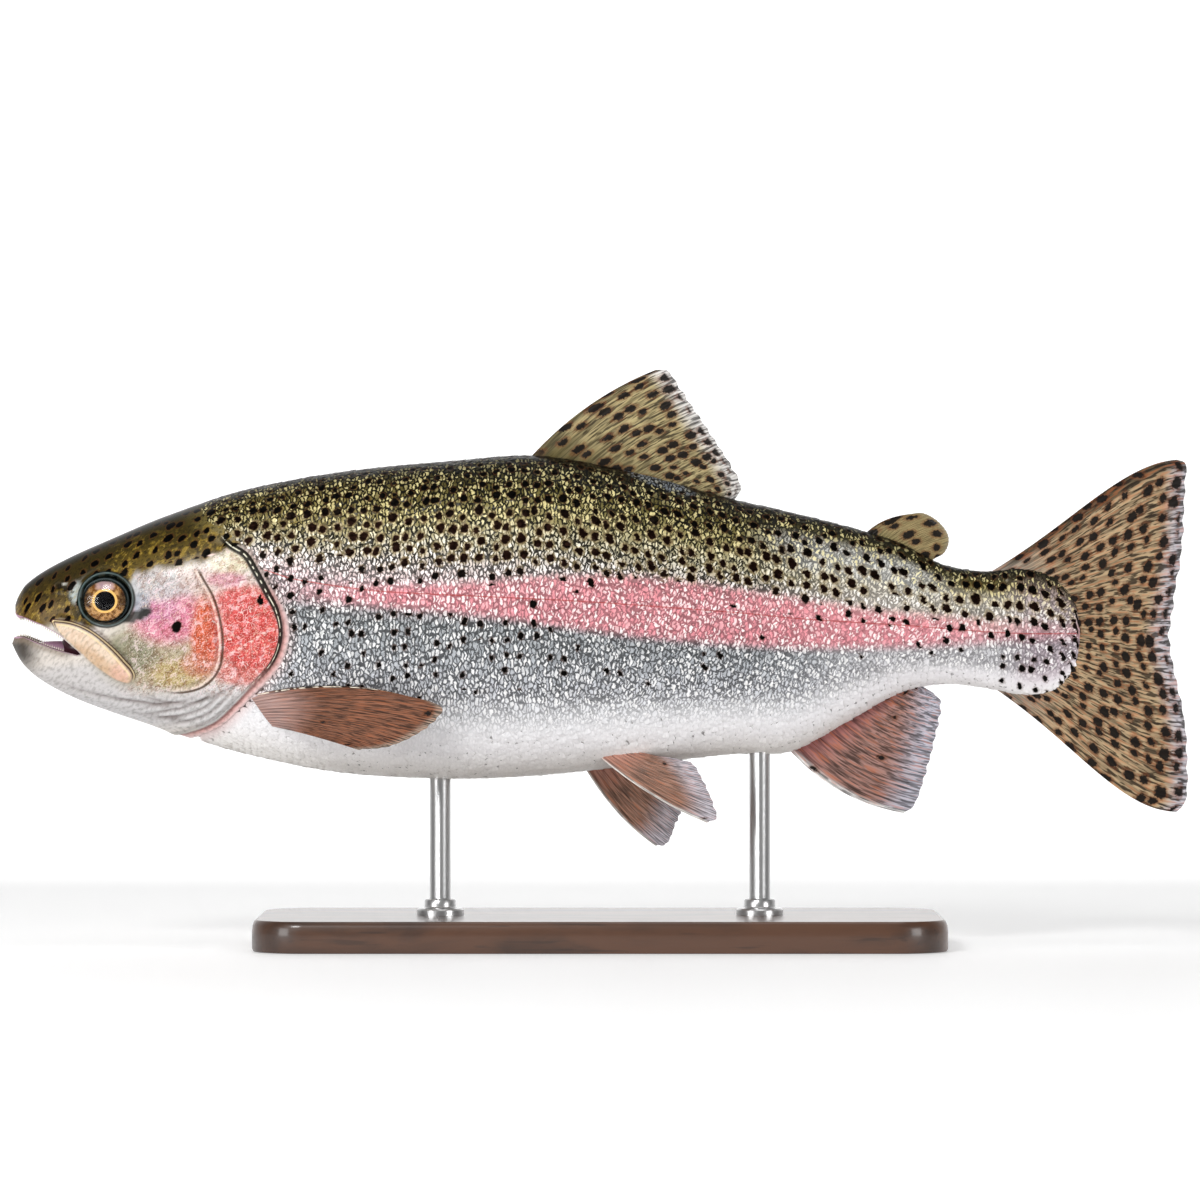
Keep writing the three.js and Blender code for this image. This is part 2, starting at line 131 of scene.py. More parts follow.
def hill(value, centre, width):
    """1 at the centre, falling as a bell curve of the given width."""
    return np.exp(-((value - centre) / width) ** 2)


def stacked(*values):
    """Numbers and arrays side by side, as the last axis of one array."""
    return np.stack(np.broadcast_arrays(*values), -1)


def unit(vectors):
    """Vectors brought to length 1."""
    return vectors / np.maximum(np.linalg.norm(vectors, axis=-1, keepdims=True), 1e-9)


def between_ends(share, rise, fall):
    """1 along the middle of a line, fading to 0 at its start and at its end."""
    return step(0, rise, share) * step(1, fall, share)


NOSE_LENGTH = 5.5
UPPER_TIP, UPPER_TIP_HEIGHT = 1.2, 7.4
LOWER_TIP, LOWER_TIP_HEIGHT = 0, -7.4
UPPER_LIP = [(5.5, 2.1), (8, 1.1), (12.6, -0.8), (19.5, -4.6), (27.6, -11.6)]
LOWER_LIP = [(5.5, -4.4), (8, -5.4), (12.6, -7.2), (19, -9.4), (27.6, -11.6)]
MOUTH_CORNER = 27.6


def section(x, upper):
    """Height of the widest point at a place, the reach from it to the back where upper says so and
    to the belly elsewhere, and the fullness on that side."""
    widest = along(WIDEST, x)
    reach = np.where(upper, along(TOP, x) - widest, widest - along(BOTTOM, x))
    return widest, reach, np.where(upper, along(FULL_UP, x), along(FULL_DOWN, x))


def body_point(x, turn, side, tip=None, tip_height=0):
    """A point of the body's side. Turn goes from 0 at the back to 1 at the belly, and the section
    is a superellipse: y is the half width times sin(angle)^(2/fullness), and z runs from the
    widest height by the reach above or below it times cos(angle)^(2/fullness). Ahead of the nose
    length the whole section shrinks like a quarter circle towards tip_height at the tip."""
    x, turn = np.broadcast_arrays(np.asarray(x, float), np.asarray(turn, float))
    upper = turn < 0.5
    widest, reach, fullness = section(x, upper)
    power, angle = 2 / fullness, turn * math.pi
    y = along(HALF_WIDTH, x) * np.sin(angle) ** power
    z = widest + reach * np.abs(np.cos(angle)) ** power * np.where(upper, 1, -1)
    if tip is not None:
        t = np.clip((x - tip) / (NOSE_LENGTH - tip), 0, 1)
        shrink = np.sqrt(t * (2 - t))
        y = y * shrink
        z = tip_height + (z - tip_height) * shrink
    return x, side * y, z


def turn_at(x, z):
    """The turn at which the body's side has the height z."""
    upper = z > along(WIDEST, x)
    widest, reach, fullness = section(x, upper)
    share = np.clip(np.abs(z - widest) / np.maximum(reach, 1e-6), 0, 1)
    quarter = np.arccos(share ** (fullness / 2)) / math.pi
    return np.where(upper, quarter, 1 - quarter)


# Distance round the body from the back, as a table over place and turn.
SHOULDER_RING = 60    # the table's row just behind the head, on which the skin's rows are even
GIRTH_X = np.linspace(0, BODY_END, 280)
GIRTH_TURN = np.linspace(0, 1, 241)
_ring = stacked(*body_point(GIRTH_X[:, None], GIRTH_TURN[None, :], 1))
_lengths = np.linalg.norm(np.diff(_ring, axis=1), axis=-1)
GIRTH = np.concatenate([np.zeros((len(GIRTH_X), 1)), np.cumsum(_lengths, axis=1)], axis=1)


def table_place(share, size):
    """The last of a table's entries before a share of its length, and the part left over."""
    i = np.clip(share * (size - 1), 0, size - 1.001)
    return i.astype(int), i - i.astype(int)


def girth(x, turn):
    """Distance from the midline of the back round to a turn: bilinear in the girth table."""
    i, fi = table_place(x / BODY_END, len(GIRTH_X))
    j, fj = table_place(turn, len(GIRTH_TURN))
    return ((GIRTH[i, j] * (1 - fi) + GIRTH[i + 1, j] * fi) * (1 - fj)
            + (GIRTH[i, j + 1] * (1 - fi) + GIRTH[i + 1, j + 1] * fi) * fj)


def even_turn(share):
    """Turn for an even share of the way round, measured on the ring behind the head."""
    ring = GIRTH[SHOULDER_RING]
    return np.interp(share, ring / ring[-1], GIRTH_TURN)


def even_share(turn):
    """The inverse of even_turn."""
    ring = GIRTH[SHOULDER_RING]
    return np.interp(turn, GIRTH_TURN, ring / ring[-1])


LATERAL_LINE = [(84, 24), (100, 20), (110, 17), (139, 12.8), (160, 11.5), (209, 9.2), (240, 7.2),
                (284, 3.8), (298, 2.3), (340, -0.4), (381, -3.4), (410, -3.6)]


# ---- lines of the head, in side view

def drawn(points, steps=12):
    """More points along a given line, flat or in space: a cubic Hermite curve through them whose slopes come
    from a Catmull-Rom curve with centripetal knots, the roots of the gaps."""
    p = np.asarray(points, float)
    p = np.vstack([2 * p[0] - p[1], p, 2 * p[-1] - p[-2]])
    t = np.linspace(0, 1, steps, endpoint=False)[:, None]
    parts = []
    for before, start, end, after in zip(p[:-3], p[1:-2], p[2:-1], p[3:]):
        gaps = start - before, end - start, after - end
        k0, k1, k2 = (max(np.linalg.norm(gap) ** 0.5, 1e-9) for gap in gaps)
        lean_in = (gaps[0] / k0 - (end - before) / (k0 + k1) + gaps[1] / k1) * k1
        lean_out = (gaps[1] / k1 - (after - start) / (k1 + k2) + gaps[2] / k2) * k1
        parts.append(hermite(t, start, end, lean_in, lean_out))
    return np.vstack(parts + [p[-2][None]])


def beside(x, z, points):
    """Distance of places from the line drawn through points, and how far along it the nearest place
    is, from 0 to 1. The distance is positive on the right of the line's direction."""
    line = drawn(points)
    a, b = line[:-1], line[1:]
    d = b - a
    length = np.linalg.norm(d, axis=1)
    start = np.concatenate([[0], np.cumsum(length)[:-1]])
    px, pz = x.ravel()[:, None] - a[:, 0], z.ravel()[:, None] - a[:, 1]
    t = np.clip((px * d[:, 0] + pz * d[:, 1]) / length**2, 0, 1)
    gap = np.hypot(px - t * d[:, 0], pz - t * d[:, 1])
    best = gap.argmin(axis=1)
    rows = np.arange(len(best))
    cross = d[best, 0] * pz[rows, best] - d[best, 1] * px[rows, best]
    share = (start[best] + t[rows, best] * length[best]) / length.sum()
    signed = np.where(cross > 0, -1, 1) * gap[rows, best]
    return signed.reshape(x.shape), share.reshape(x.shape)


GILL_EDGE = [(83, 33.5), (86, 30.5), (91.7, 26.7), (95.9, 20.2), (100.5, 11.8), (103.5, 5.7),
             (105, -2.7), (103.9, -9.5), (101.6, -14.5), (97.5, -19.5), (93.1, -23.7), (87, -30),
             (79.4, -36.7), (70, -40.5), (61, -42.2), (50, -44.5)]
SCALE_START = [(56, -47), (68, -44.5), (78, -39.6), (87, -33.6), (95.5, -26), (102.6, -17), (106.4, -6),
               (105.4, 4), (102, 13), (97.6, 21.5), (91.6, 29), (84.5, 34.5), (77, 39), (70, 46), (66, 62)]
PREOPERCLE = [(72, 22.2), (75.2, 16.4), (78.7, 10.3), (81.4, 1), (82.3, -8.4), (80.8, -17),
              (75.4, -23.2), (67, -25.8), (57, -25.4)]
OPERCLE_SUTURE = [(84.2, -11.7), (92, -7.4), (102.3, -0.5)]
SUBOPERCLE_SUTURE = [(84.2, -11.7), (87.5, -16), (89.8, -22)]
INTEROPERCLE = [(50, -27.4), (58, -29.4), (68, -30.2), (78, -27.6), (90.7, -21.4)]
JAW_FOLD = [(12, -20.2), (24, -24.8), (38, -28.4), (54, -30.6), (66, -31.6)]
GULAR_FOLD = [(14, -23), (26, -28.4), (40, -32.6), (56, -35.6), (70, -36.4)]
MAXILLA_UPPER_EDGE = [(18.2, 2.6), (22, 1.9), (27.5, 0.4), (33, -2.4), (39.2, -7.6), (44.6, -13.2),
                      (48, -18.4)]
MAXILLA = [(17.5, 1), (24, 0.2), (31, -2.6), (38.4, -8.2), (44.4, -14.4), (48, -19.4), (46.6, -22.4),
           (42.8, -21.8), (37, -18.6), (30.6, -13.6), (24.6, -8), (19.6, -3.2)]
TEMPLE_RIDGE = [(75.2, 25), (80, 27), (84.8, 28.4)]
CROWN_EDGE = [(-2, 0.4), (8, 0.2), (16, 0.4), (24, 0.6), (31, -0.8), (38, 4), (44, 12), (49, 18.8),
              (56, 21.2), (66, 22.4), (75, 24.2), (84, 28.6), (93, 32), (104, 34)]
# Lines that stand out of the head or, with a negative height, sink into it: height and width.
FOLDS = [(OPERCLE_SUTURE, 0.35, 0.5), (SUBOPERCLE_SUTURE, -0.45, 0.5), (INTEROPERCLE, -0.7, 0.6),
         (JAW_FOLD, -0.9, 0.8), (GULAR_FOLD, -1, 0.9), (TEMPLE_RIDGE, 0.5, 0.6)]
NOSTRILS = [((19.4, 14.6), 1.25), ((21.6, 13.6), 0.9)]    # centre and radius
COVER_HEIGHT, COVER_SLOPE = 0.95, 9
SLIT_DEPTH = 1.3
THROAT_RAY_PITCH = 2.6
SOCKET_DEPTH = 5


def inside(x, z, outline):
    """Distance inside a closed outline given clockwise in side view, negative outside it."""
    closed = outline + outline[:1]
    distance, _ = beside(x, z, closed)
    line = drawn(closed)
    a, b = line[:-1], line[1:]
    px, pz = x.ravel()[:, None], z.ravel()[:, None]
    spans = (a[:, 1] > pz) != (b[:, 1] > pz)
    rise = np.where(b[:, 1] == a[:, 1], 1e-9, b[:, 1] - a[:, 1])
    crossing = px < (b[:, 0] - a[:, 0]) * (pz - a[:, 1]) / rise + a[:, 0]
    within = (spans & crossing).sum(axis=1) % 2 == 1
    return np.where(within.reshape(x.shape), np.abs(distance), -np.abs(distance))


def from_oval(x, z, centre, radii):
    """Distance from an oval's centre as a share of its radius that way."""
    return np.hypot((x - centre[0]) / radii[0], (z - centre[1]) / radii[1])


def head_relief(x, z):
    """How far the head's skin stands out, as a sum of smooth steps and bell curves of the distance from the
    head's lines: the gill cover's stepped edge, the cheek's ridge, the folds, the throat's rays as a cosine,
    the upper-jaw plate, the eye's rim and socket, and the nostrils. The second value is how deep in a fold,
    groove, slit or nostril each point lies, from 0 to 1, which the skin's colour darkens as painted shade."""
    d, share = beside(x, z, GILL_EDGE)
    d = -d
    fade = between_ends(share, 0.07, 0.86)
    d = np.where(d > 0, d * (1 + 1.4 * step(2, 20, z)), d)
    cover = COVER_HEIGHT * np.exp(np.minimum(d, 0) / COVER_SLOPE) * step(0.5, 0, d)
    cover = cover + 0.25 * hill(d, -0.7, 0.7)
    membrane = 0.28 * step(-0.1, 0.5, d) * step(3.4, 2.8, d)
    slit = SLIT_DEPTH * step(2.8, 3.5, d) * step(9.5, 3.6, d)
    relief = fade * (cover + membrane - slit)
    crease_shade = fade * (0.9 * step(0.1, 0.5, d) * step(1.5, 0.6, d) + 0.7 * hill(d, 4, 0.9))

    above_keel = step(1, 8, z - along(BOTTOM, x))
    p, along_p = beside(x, z, PREOPERCLE)
    near_p = between_ends(along_p, 0.08, 0.85)
    relief += near_p * (0.6 * hill(p, 0.9, 0.8) - 0.6 * hill(p, -0.3, 0.5) - 0.4 * hill(p, 2.2, 0.6))
    crease_shade += near_p * 0.5 * hill(p, 2.2, 0.5)
    for line, height, width in FOLDS:
        q, along_q = beside(x, z, line)
        here = hill(q, 0, width) * between_ends(along_q, 0.12, 0.88) * above_keel
        relief += height * here
        crease_shade += max(-height, 0) * here
    rays = step(44, 56, x) * step(-24, -29, z) * step(-0.4, -1.6, d) * step(-14.5, -10, d) * above_keel
    wave = np.cos(d * 2 * math.pi / THROAT_RAY_PITCH)
    relief += 0.5 * rays * wave
    crease_shade += 0.75 * rays * (0.5 - 0.5 * wave) ** 2

    plate = inside(x, z, MAXILLA)
    relief += step(-0.35, 0.8, plate) + 0.45 * step(0.5, 3, plate)
    m, along_m = beside(x, z, MAXILLA_UPPER_EDGE)
    groove = hill(m, -0.5, 0.6) * between_ends(along_m, 0.1, 0.9)
    relief -= 0.9 * groove
    crease_shade += groove

    r = from_oval(x, z, OPENING_CENTRE, OPENING_RADII)
    relief += 0.5 * hill(r, 1.08, 0.07) - 0.3 * hill(r, 1.24, 0.08) - SOCKET_DEPTH * step(1.03, 0.86, r)
    for (centre_x, centre_z), radius in NOSTRILS:
        n = np.hypot(x - centre_x, z - centre_z) / radius
        relief += 0.4 * hill(n, 1.5, 0.5) - 1.2 * step(1.1, 0.5, n)
        crease_shade += step(1.2, 0.7, n)
    return relief, np.clip(crease_shade, 0, 1)


# ---- colours over the body

def linear(red, green, blue):
    """A display colour from 0 to 255 as a linear one."""
    c = np.array([red, green, blue]) / 255
    return np.where(c <= 0.04045, c / 12.92, ((c + 0.055) / 1.055) ** 2.4)


PAINTS = {
    # body
    "shoulder": (150, 132, 74), "rear flank": (232, 224, 212), "rear belly": (226, 222, 224),
    "rear flank highlight": (238, 238, 234), "tail root": (190, 166, 178), "back fold highlight": (168, 178, 190),
    # head
    "cheek": (214, 206, 198), "crown": (97, 79, 26), "snout": (110, 84, 38), "crown top": (44, 36, 8),
    "crown ridge": (34, 36, 34), "eye streak": (26, 26, 18), "jaw tip": (52, 44, 36),
    "lower lip": (138, 122, 106), "plate": (226, 204, 182), "plate lower shade": (196, 160, 124),
    "gill skin": (226, 204, 202), "gill flush": (212, 142, 134), "mouth": (190, 152, 172),
    "tooth": (232, 226, 206),
    # lines and grain of the head
    "mottle": (70, 60, 30), "crown gold": (158, 130, 46), "crown fleck": (206, 178, 104),
    "crown shade": (32, 26, 8), "marble shade": (190, 130, 106), "marble light": (250, 222, 226),
    "cheek grain": (255, 236, 230), "cheek pore": (150, 92, 70), "hair vein": (252, 230, 206),
    "vein": (255, 240, 234), "gill rim": (16, 14, 8), "gill glint": (244, 240, 216),
    "gill slit shade": (110, 62, 56), "cheek groove shade": (72, 46, 26), "cheek ridge highlight": (244, 222, 208),
    "suture": (248, 216, 206), "plate grain": (186, 146, 106), "plate border shade": (66, 38, 32),
    "plate highlight": (242, 220, 170), "fold": (112, 84, 72), "eyelid": (22, 30, 26),
    "lid highlight": (110, 128, 128),
    # spots, scales and fins
    "spot ring": (206, 188, 136), "spot rim": (96, 56, 26), "spot brown": (92, 40, 18),
    "silver glint": (255, 253, 251), "gold": (246, 232, 168), "side line": (170, 60, 58),
    "fin dash": (26, 18, 13), "fin flame": (196, 104, 52), "fin glint": (240, 230, 210),
    "fin spot rim": (112, 62, 34),
    # eye
    "iris brown": (118, 74, 32), "iris gold": (204, 156, 98), "iris fibre": (62, 42, 24),
    "iris side": (44, 30, 22), "iris lilac and reflection": (196, 168, 178), "pupil ring": (250, 200, 116),
    "eye rim": (20, 28, 25), "eye rim highlight": (150, 166, 172),
}


def paint(name):
    """A named colour as a linear one."""
    return linear(*PAINTS[name])


def painted(base, colour, amount):
    """Base moved towards a colour by an amount at each point."""
    return base + (np.asarray(colour) - base) * np.clip(amount, 0, 1)[..., None]


def layered(colour, *layers):
    """Lays named colours over a base in their order, each by its amount at every point."""
    for name, amount in layers:
        colour = painted(colour, paint(name), amount)
    return colour


def patched(colour, x, z, patches, edge, core, mask=1):
    """Lays soft oval patches over a base in their order. Each is full inside a core and gone outside
    an edge, both as shares of its radii."""
    for centre, radii, rgb, strength in patches:
        amount = strength * step(edge, core, from_oval(x, z, centre, radii)) * mask
        colour = painted(colour, linear(*rgb), amount)
    return colour


# Height from the belly (-1) over the side line (0) to the back (1), and the colour there.
FLANK = [
    (-1, (246, 242, 236)), (-0.84, (242, 240, 241)), (-0.66, (236, 236, 239)),
    (-0.5, (208, 210, 216)), (-0.34, (184, 188, 193)), (-0.16, (170, 174, 177)),
    (0.05, (238, 210, 212)), (0.2, (226, 212, 206)), (0.36, (198, 190, 160)),
    (0.55, (160, 149, 98)), (0.75, (110, 100, 52)), (0.9, (50, 46, 26)), (1, (22, 23, 19)),
]
BAND_TOP = [(100, 16), (125, 15), (148, 14.6), (179, 15.6), (210, 18), (244, 17.5), (294, 10.5),
            (335, 4.5), (400, 0)]
BAND_BOTTOM = [(100, 9), (125, 8), (148, 6.4), (179, 3.6), (210, -0.6), (244, -5), (294, -8.5),
               (335, -8.5), (400, -6)]
BAND_STRENGTH = 0.86
# The fold in the skin behind the dorsal fin's foot, painted lighter with a silvery highlight.
FOLD_LINE = [(232, 59.5), (263, 49)]
FOLD_CENTRE, FOLD_RADII = 248, (15, 2.6)


def side_height(x, z):
    """Height on the side: 0 on the side line, 1 at the back and -1 at the belly."""
    line = through(LATERAL_LINE, x)
    above = (z - line) / np.maximum(along(TOP, x) - line, 1)
    below = (z - line) / np.maximum(line - along(BOTTOM, x), 1)
    return np.clip(np.where(z > line, above, below), -1, 1)


def band_amount(x, z):
    """How pink the side is: 1 inside the band, fading over its edges and its two ends."""
    top, bottom = through(BAND_TOP, x), through(BAND_BOTTOM, x)
    edge = np.minimum(top - z, z - bottom)
    return step(-2.8, 2.6, edge) * step(88, 150, x) * (1 - 0.7 * step(340, 404, x))


def body_tint(x, z, look):
    """Colour of the body behind the head, before spots: the flank's colour at each height, with the shoulder,
    the paler rear, a painted highlight high on the rear flank, the tail's root, the fold behind the dorsal
    fin with a painted silvery highlight on it, and the pink band laid over it."""
    h = side_height(x, z)
    stops = np.array([stop for stop, _ in FLANK])
    colours = np.array([linear(*colour) for _, colour in FLANK])
    colour = stacked(*(np.interp(h, stops, channel) for channel in colours.T))
    rear = step(286, 340, x)
    fold = from_oval(x, z, (FOLD_CENTRE, through(FOLD_LINE, x)), FOLD_RADII)
    colour = layered(
        colour,
        ("shoulder", 0.45 * step(0.25, 0.5, h) * step(0.97, 0.85, h) * step(190, 110, x)),
        ("rear flank", 0.85 * rear * step(-0.1, 0.12, h) * step(0.74, 0.44, h)),
        ("rear belly", 0.6 * rear * step(0.05, -0.4, h)),
        # painted highlight high on the rear flank
        ("rear flank highlight", 0.8 * step(276, 306, x) * step(366, 344, x) * step(0.38, 0.52, h) * step(0.86, 0.7, h)),
        ("tail root", 0.6 * step(374, 392, x) * step(0.95, 0.6, np.abs(h))),
        # painted silvery highlight on the fold behind the dorsal fin
        ("back fold highlight", 0.75 * step(1.1, 0.5, fold)))
    return painted(colour, look["band"], BAND_STRENGTH * band_amount(x, z))


# Soft patches of the head: centre, radii, colour and strength, laid over one another in this order.
HEAD_PATCHES = [
    ((60, -30), (70, 10), (203, 200, 200), 1),
    ((30, -22), (30, 7), (200, 196, 195), 0.9),
    ((58, -12), (24, 14), (168, 158, 128), 1),
    ((66, -19), (12, 6), (186, 166, 104), 0.8),
    ((48, -11), (10, 8), (132, 134, 108), 0.8),
    ((62, 3), (15, 11), (216, 130, 154), 1),
    ((58, 7), (8, 7), (200, 140, 180), 0.5),
    ((57, 15), (15, 6.5), (190, 190, 192), 0.9),
    ((74, 17), (9, 4.5), (214, 190, 182), 0.6),
    ((51.5, 7), (3.5, 6), (150, 158, 168), 0.9),
    ((76, -4), (6, 16), (212, 98, 62), 1),
    ((72, -15), (6, 5), (198, 122, 98), 0.7),
    ((93, -4), (15, 18), (214, 82, 78), 1),
    ((90, 9), (12, 6), (216, 88, 86), 0.9),
    ((88, -19), (9, 4), (206, 104, 96), 0.8),
    ((86, 23.5), (9, 5), (214, 208, 176), 0.95),
    ((84, 17), (8, 3), (210, 138, 158), 0.8),
]
# The pale skin before the eye, and below it a dark patch that is painted shadow.
EYE_PATCHES = [((26.2, 12), (3, 4.8), (186, 196, 194), 0.9), ((27.5, 3.4), (3.4, 3.4), (62, 54, 34), 0.8)]
NOSTRIL_FLECK = [((21.4, 15.4), (1, 0.6), (226, 226, 216), 0.8)]
PLATE_END = [((43.5, -18.6), (5, 5), (222, 176, 158), 0.7)]
PLATE_SHADE_LINE = [(17, -3.5), (31, -8), (38, -13), (46, -20)]
STREAK_X, STREAK_Z, STREAK_SLOPE = 49.5, 3.2, 0.34
STREAK_RADII = 7.4, 2.2


def eye_streak(x, z):
    """The dark streak that runs on from the eye's rim, down behind it: 1 inside and 0 outside."""
    run = (x - STREAK_X) + STREAK_SLOPE * (z - STREAK_Z)
    rise = (z - STREAK_Z) - STREAK_SLOPE * (x - STREAK_X)
    return step(1.1, 0.8, np.hypot(run / STREAK_RADII[0], rise / STREAK_RADII[1]))


def head_tint(x, z, fields):
    """Colour of the head, before spots and veins: soft patches on the cheek, the dark crown with its wavy
    edge, pale skin before the eye with a painted shadow below it, the streak behind the eye, the dark jaw tip
    and lip, and the upper-jaw plate with painted shade over its lower part."""
    colour = np.broadcast_to(paint("cheek"), (*x.shape, 3))
    colour = patched(colour, x, z, HEAD_PATCHES, 1.25, 0.6)
    crown = fields["crown"] + 0.9 * np.sin(0.62 * x + 1.1 * np.sin(0.25 * x))
    capped = step(-2.2, 1.8, crown)
    top = along(TOP, x)
    colour = layered(colour, ("crown", capped), ("snout", 0.7 * step(34, 14, x) * capped),
                     ("crown top", 0.85 * step(4, 13, crown)),
                     ("crown ridge", 0.9 * step(top - 4.2, top - 1.4, z)))
    colour = patched(colour, x, z, EYE_PATCHES, 1.2, 0.5)
    colour = patched(colour, x, z, NOSTRIL_FLECK, 1.3, 0.6)
    plate = step(-0.2, 0.8, fields["plate"])
    colour = layered(
        colour,
        ("eye streak", 0.96 * eye_streak(x, z)),
        ("jaw tip", 0.95 * step(15, 4.5, x) * step(-1, -5, z) * step(-23, -11, z)),
        ("lower lip", 0.7 * step(3.6, 1, np.abs(z - through(LOWER_LIP, x) + 0.6)) * step(27, 19, x)),
        ("plate", plate),
        # painted shade over the plate's lower part
        ("plate lower shade", 0.6 * step(1.5, -2, z - through(PLATE_SHADE_LINE, x)) * plate))
    return patched(colour, x, z, PLATE_END, 1.2, 0.4, plate)


def head_fields(x, z):
    """Distances from the head's lines, which the skin stores and its material draws."""
    gill, _ = beside(x, z, GILL_EDGE)
    cheek, cheek_share = beside(x, z, PREOPERCLE)
    suture, suture_share = beside(x, z, OPERCLE_SUTURE)
    ridge, ridge_share = beside(x, z, TEMPLE_RIDGE)
    nearer = (np.abs(ridge) < np.abs(suture)) & (ridge_share > 0) & (ridge_share < 1)
    suture, suture_share = np.where(nearer, (ridge, ridge_share), (suture, suture_share))
    crown, _ = beside(x, z, CROWN_EDGE)
    scaled, _ = beside(x, z, SCALE_START)
    return {
        "gill": -gill, "scaled": scaled, "cheek": cheek, "suture": np.abs(suture), "crown": -crown,
        "cheek_shows": step(0, 0.06, cheek_share) * step(0.97, 0.84, cheek_share),
        "suture_shows": between_ends(suture_share, 0.1, 0.85),
        "plate": inside(x, z, MAXILLA), "eye": from_oval(x, z, OPENING_CENTRE, OPENING_RADII),
    }


FAR = {"gill": 60, "scaled": 60, "cheek": 60, "suture": 60, "crown": 60, "cheek_shows": 0,
       "suture_shows": 0, "plate": -60, "eye": 9}
HEAD_END = 125


def fields_of(x, z):
    """The head's fields at points anywhere on the body. Behind the head they hold fixed far values."""
    fields = {name: np.full(x.shape, far, float) for name, far in FAR.items()}
    on_head = x < HEAD_END
    for name, values in head_fields(x[on_head], z[on_head]).items():
        fields[name][on_head] = values
    return fields


def skin_tint(x, z, fields, look):
    """The head's colour joined to the body's across the gill opening, with the pale skin behind the
    gill cover's edge and the flush along it."""
    soft = 1.5 + 7 * step(22, 34, z)
    gill = fields["gill"]
    colour = painted(head_tint(x, z, fields), body_tint(x, z, look), step(-1, 1, fields["scaled"] / soft))
    shows = step(-0.3, 0.3, gill) * (0.25 + 0.75 * step(18, -8, z)) * step(32, 26, z) * step(50, 66, x)
    return layered(colour, ("gill skin", 0.85 * shows * step(7.5, 2.5, gill)),
                   ("gill flush", 0.7 * shows * step(3.6, 0.6, gill)))


# How many spots there are at each height on the side, and their size as a share of the widest.
SPOT_DENSITY = [(-0.6, 0), (-0.44, 0.5), (-0.14, 0.7), (0.1, 0.62), (0.28, 0.9), (0.42, 1), (1, 1)]
SPOT_SIZE = [(-0.5, 0.6), (-0.1, 0.76), (0.2, 0.86), (0.42, 1.05), (0.7, 1), (0.86, 0.84), (1, 0.74)]
BARE_CENTRE, BARE_RADII = (248, 54), (15, 5)    # few spots are drawn on the fold behind the dorsal fin, where its painted highlight lies
CROWN_SPOTS, CHEEK_SPOTS = 0.96, 0.05


def spot_marks(x, z, fields):
    """How many spots the skin has at each point, and how large they are as a share of the widest."""
    h = side_height(x, z)
    density = np.interp(h, *zip(*SPOT_DENSITY))
    density = density * (1 - 0.8 * band_amount(x, z) * step(330, 300, x))
    density = density * (1 - 0.78 * step(170, 270, x) * step(0.08, -0.06, h) * step(372, 330, x))
    density = np.maximum(density, step(368, 384, x))
    density = density * step(0.6, 1, from_oval(x, z, BARE_CENTRE, BARE_RADII))
    size = np.maximum(np.interp(h, *zip(*SPOT_SIZE)), 0.85 * step(368, 384, x))
    on_head = fields["scaled"] < 0
    crown = step(-0.4, 1.6, fields["crown"])
    cheek = (x > 48) * (z > -12) * (fields["gill"] < -4) * (fields["crown"] < 0)
    density = np.where(on_head, np.maximum(CROWN_SPOTS * crown, CHEEK_SPOTS * cheek), density)
    return density, np.where(on_head, 0.86 + 0.16 * step(20, 60, x), size)


# ---- meshes

WELD = 1e-4    # points nearer than this are one point


def grid_faces(columns, rows, flip=False):
    """Quads over a grid of points that run row by row within each column."""
    i = (np.arange(columns - 1)[:, None] * rows + np.arange(rows - 1)[None, :]).ravel()
    quads = stacked(i, i + rows, i + rows + 1, i + 1)
    return quads[:, ::-1] if flip else quads


def welded(points, faces):
    """Joins points that lie on one place. Returns the points kept, the faces and the kept indices."""
    key = np.round(points / WELD).astype(np.int64)
    _, first, inverse = np.unique(key, axis=0, return_index=True, return_inverse=True)
    return points[first], inverse.ravel()[faces], first


def normals_of(points, faces):
    """Unit normals at the points: the sum of the normals of the faces round each, by area."""
    a, b, c, d = (points[faces[:, i]] for i in range(4))
    face = np.cross(c - a, d - b)
    total = np.zeros_like(points)
    for i in range(4):
        np.add.at(total, faces[:, i], face)
    return unit(total)


def facing_out(points, faces):
    """The faces of a closed surface, turned over if it encloses a negative volume."""
    a, b, c, d = (points[faces[:, i]] for i in range(4))
    volume = (np.cross(a, b) * c).sum() + (np.cross(a, c) * d).sum()
    return faces if volume > 0 else faces[:, ::-1]


# Kind of attribute for one, three or four numbers at a point, and what Blender calls its field.
ATTRIBUTE_KINDS = {1: ("FLOAT", "value"), 3: ("FLOAT_VECTOR", "vector"), 4: ("FLOAT_COLOR", "color")}


def placed(name, data, place=(0, 0, 0), turn=(0, 0, 0)):
    """A new object in the scene, at a place in metres and turned by three angles."""
    made = bpy.data.objects.new(name, data)
    made.location, made.rotation_euler = place, turn
    bpy.context.scene.collection.objects.link(made)
    return made


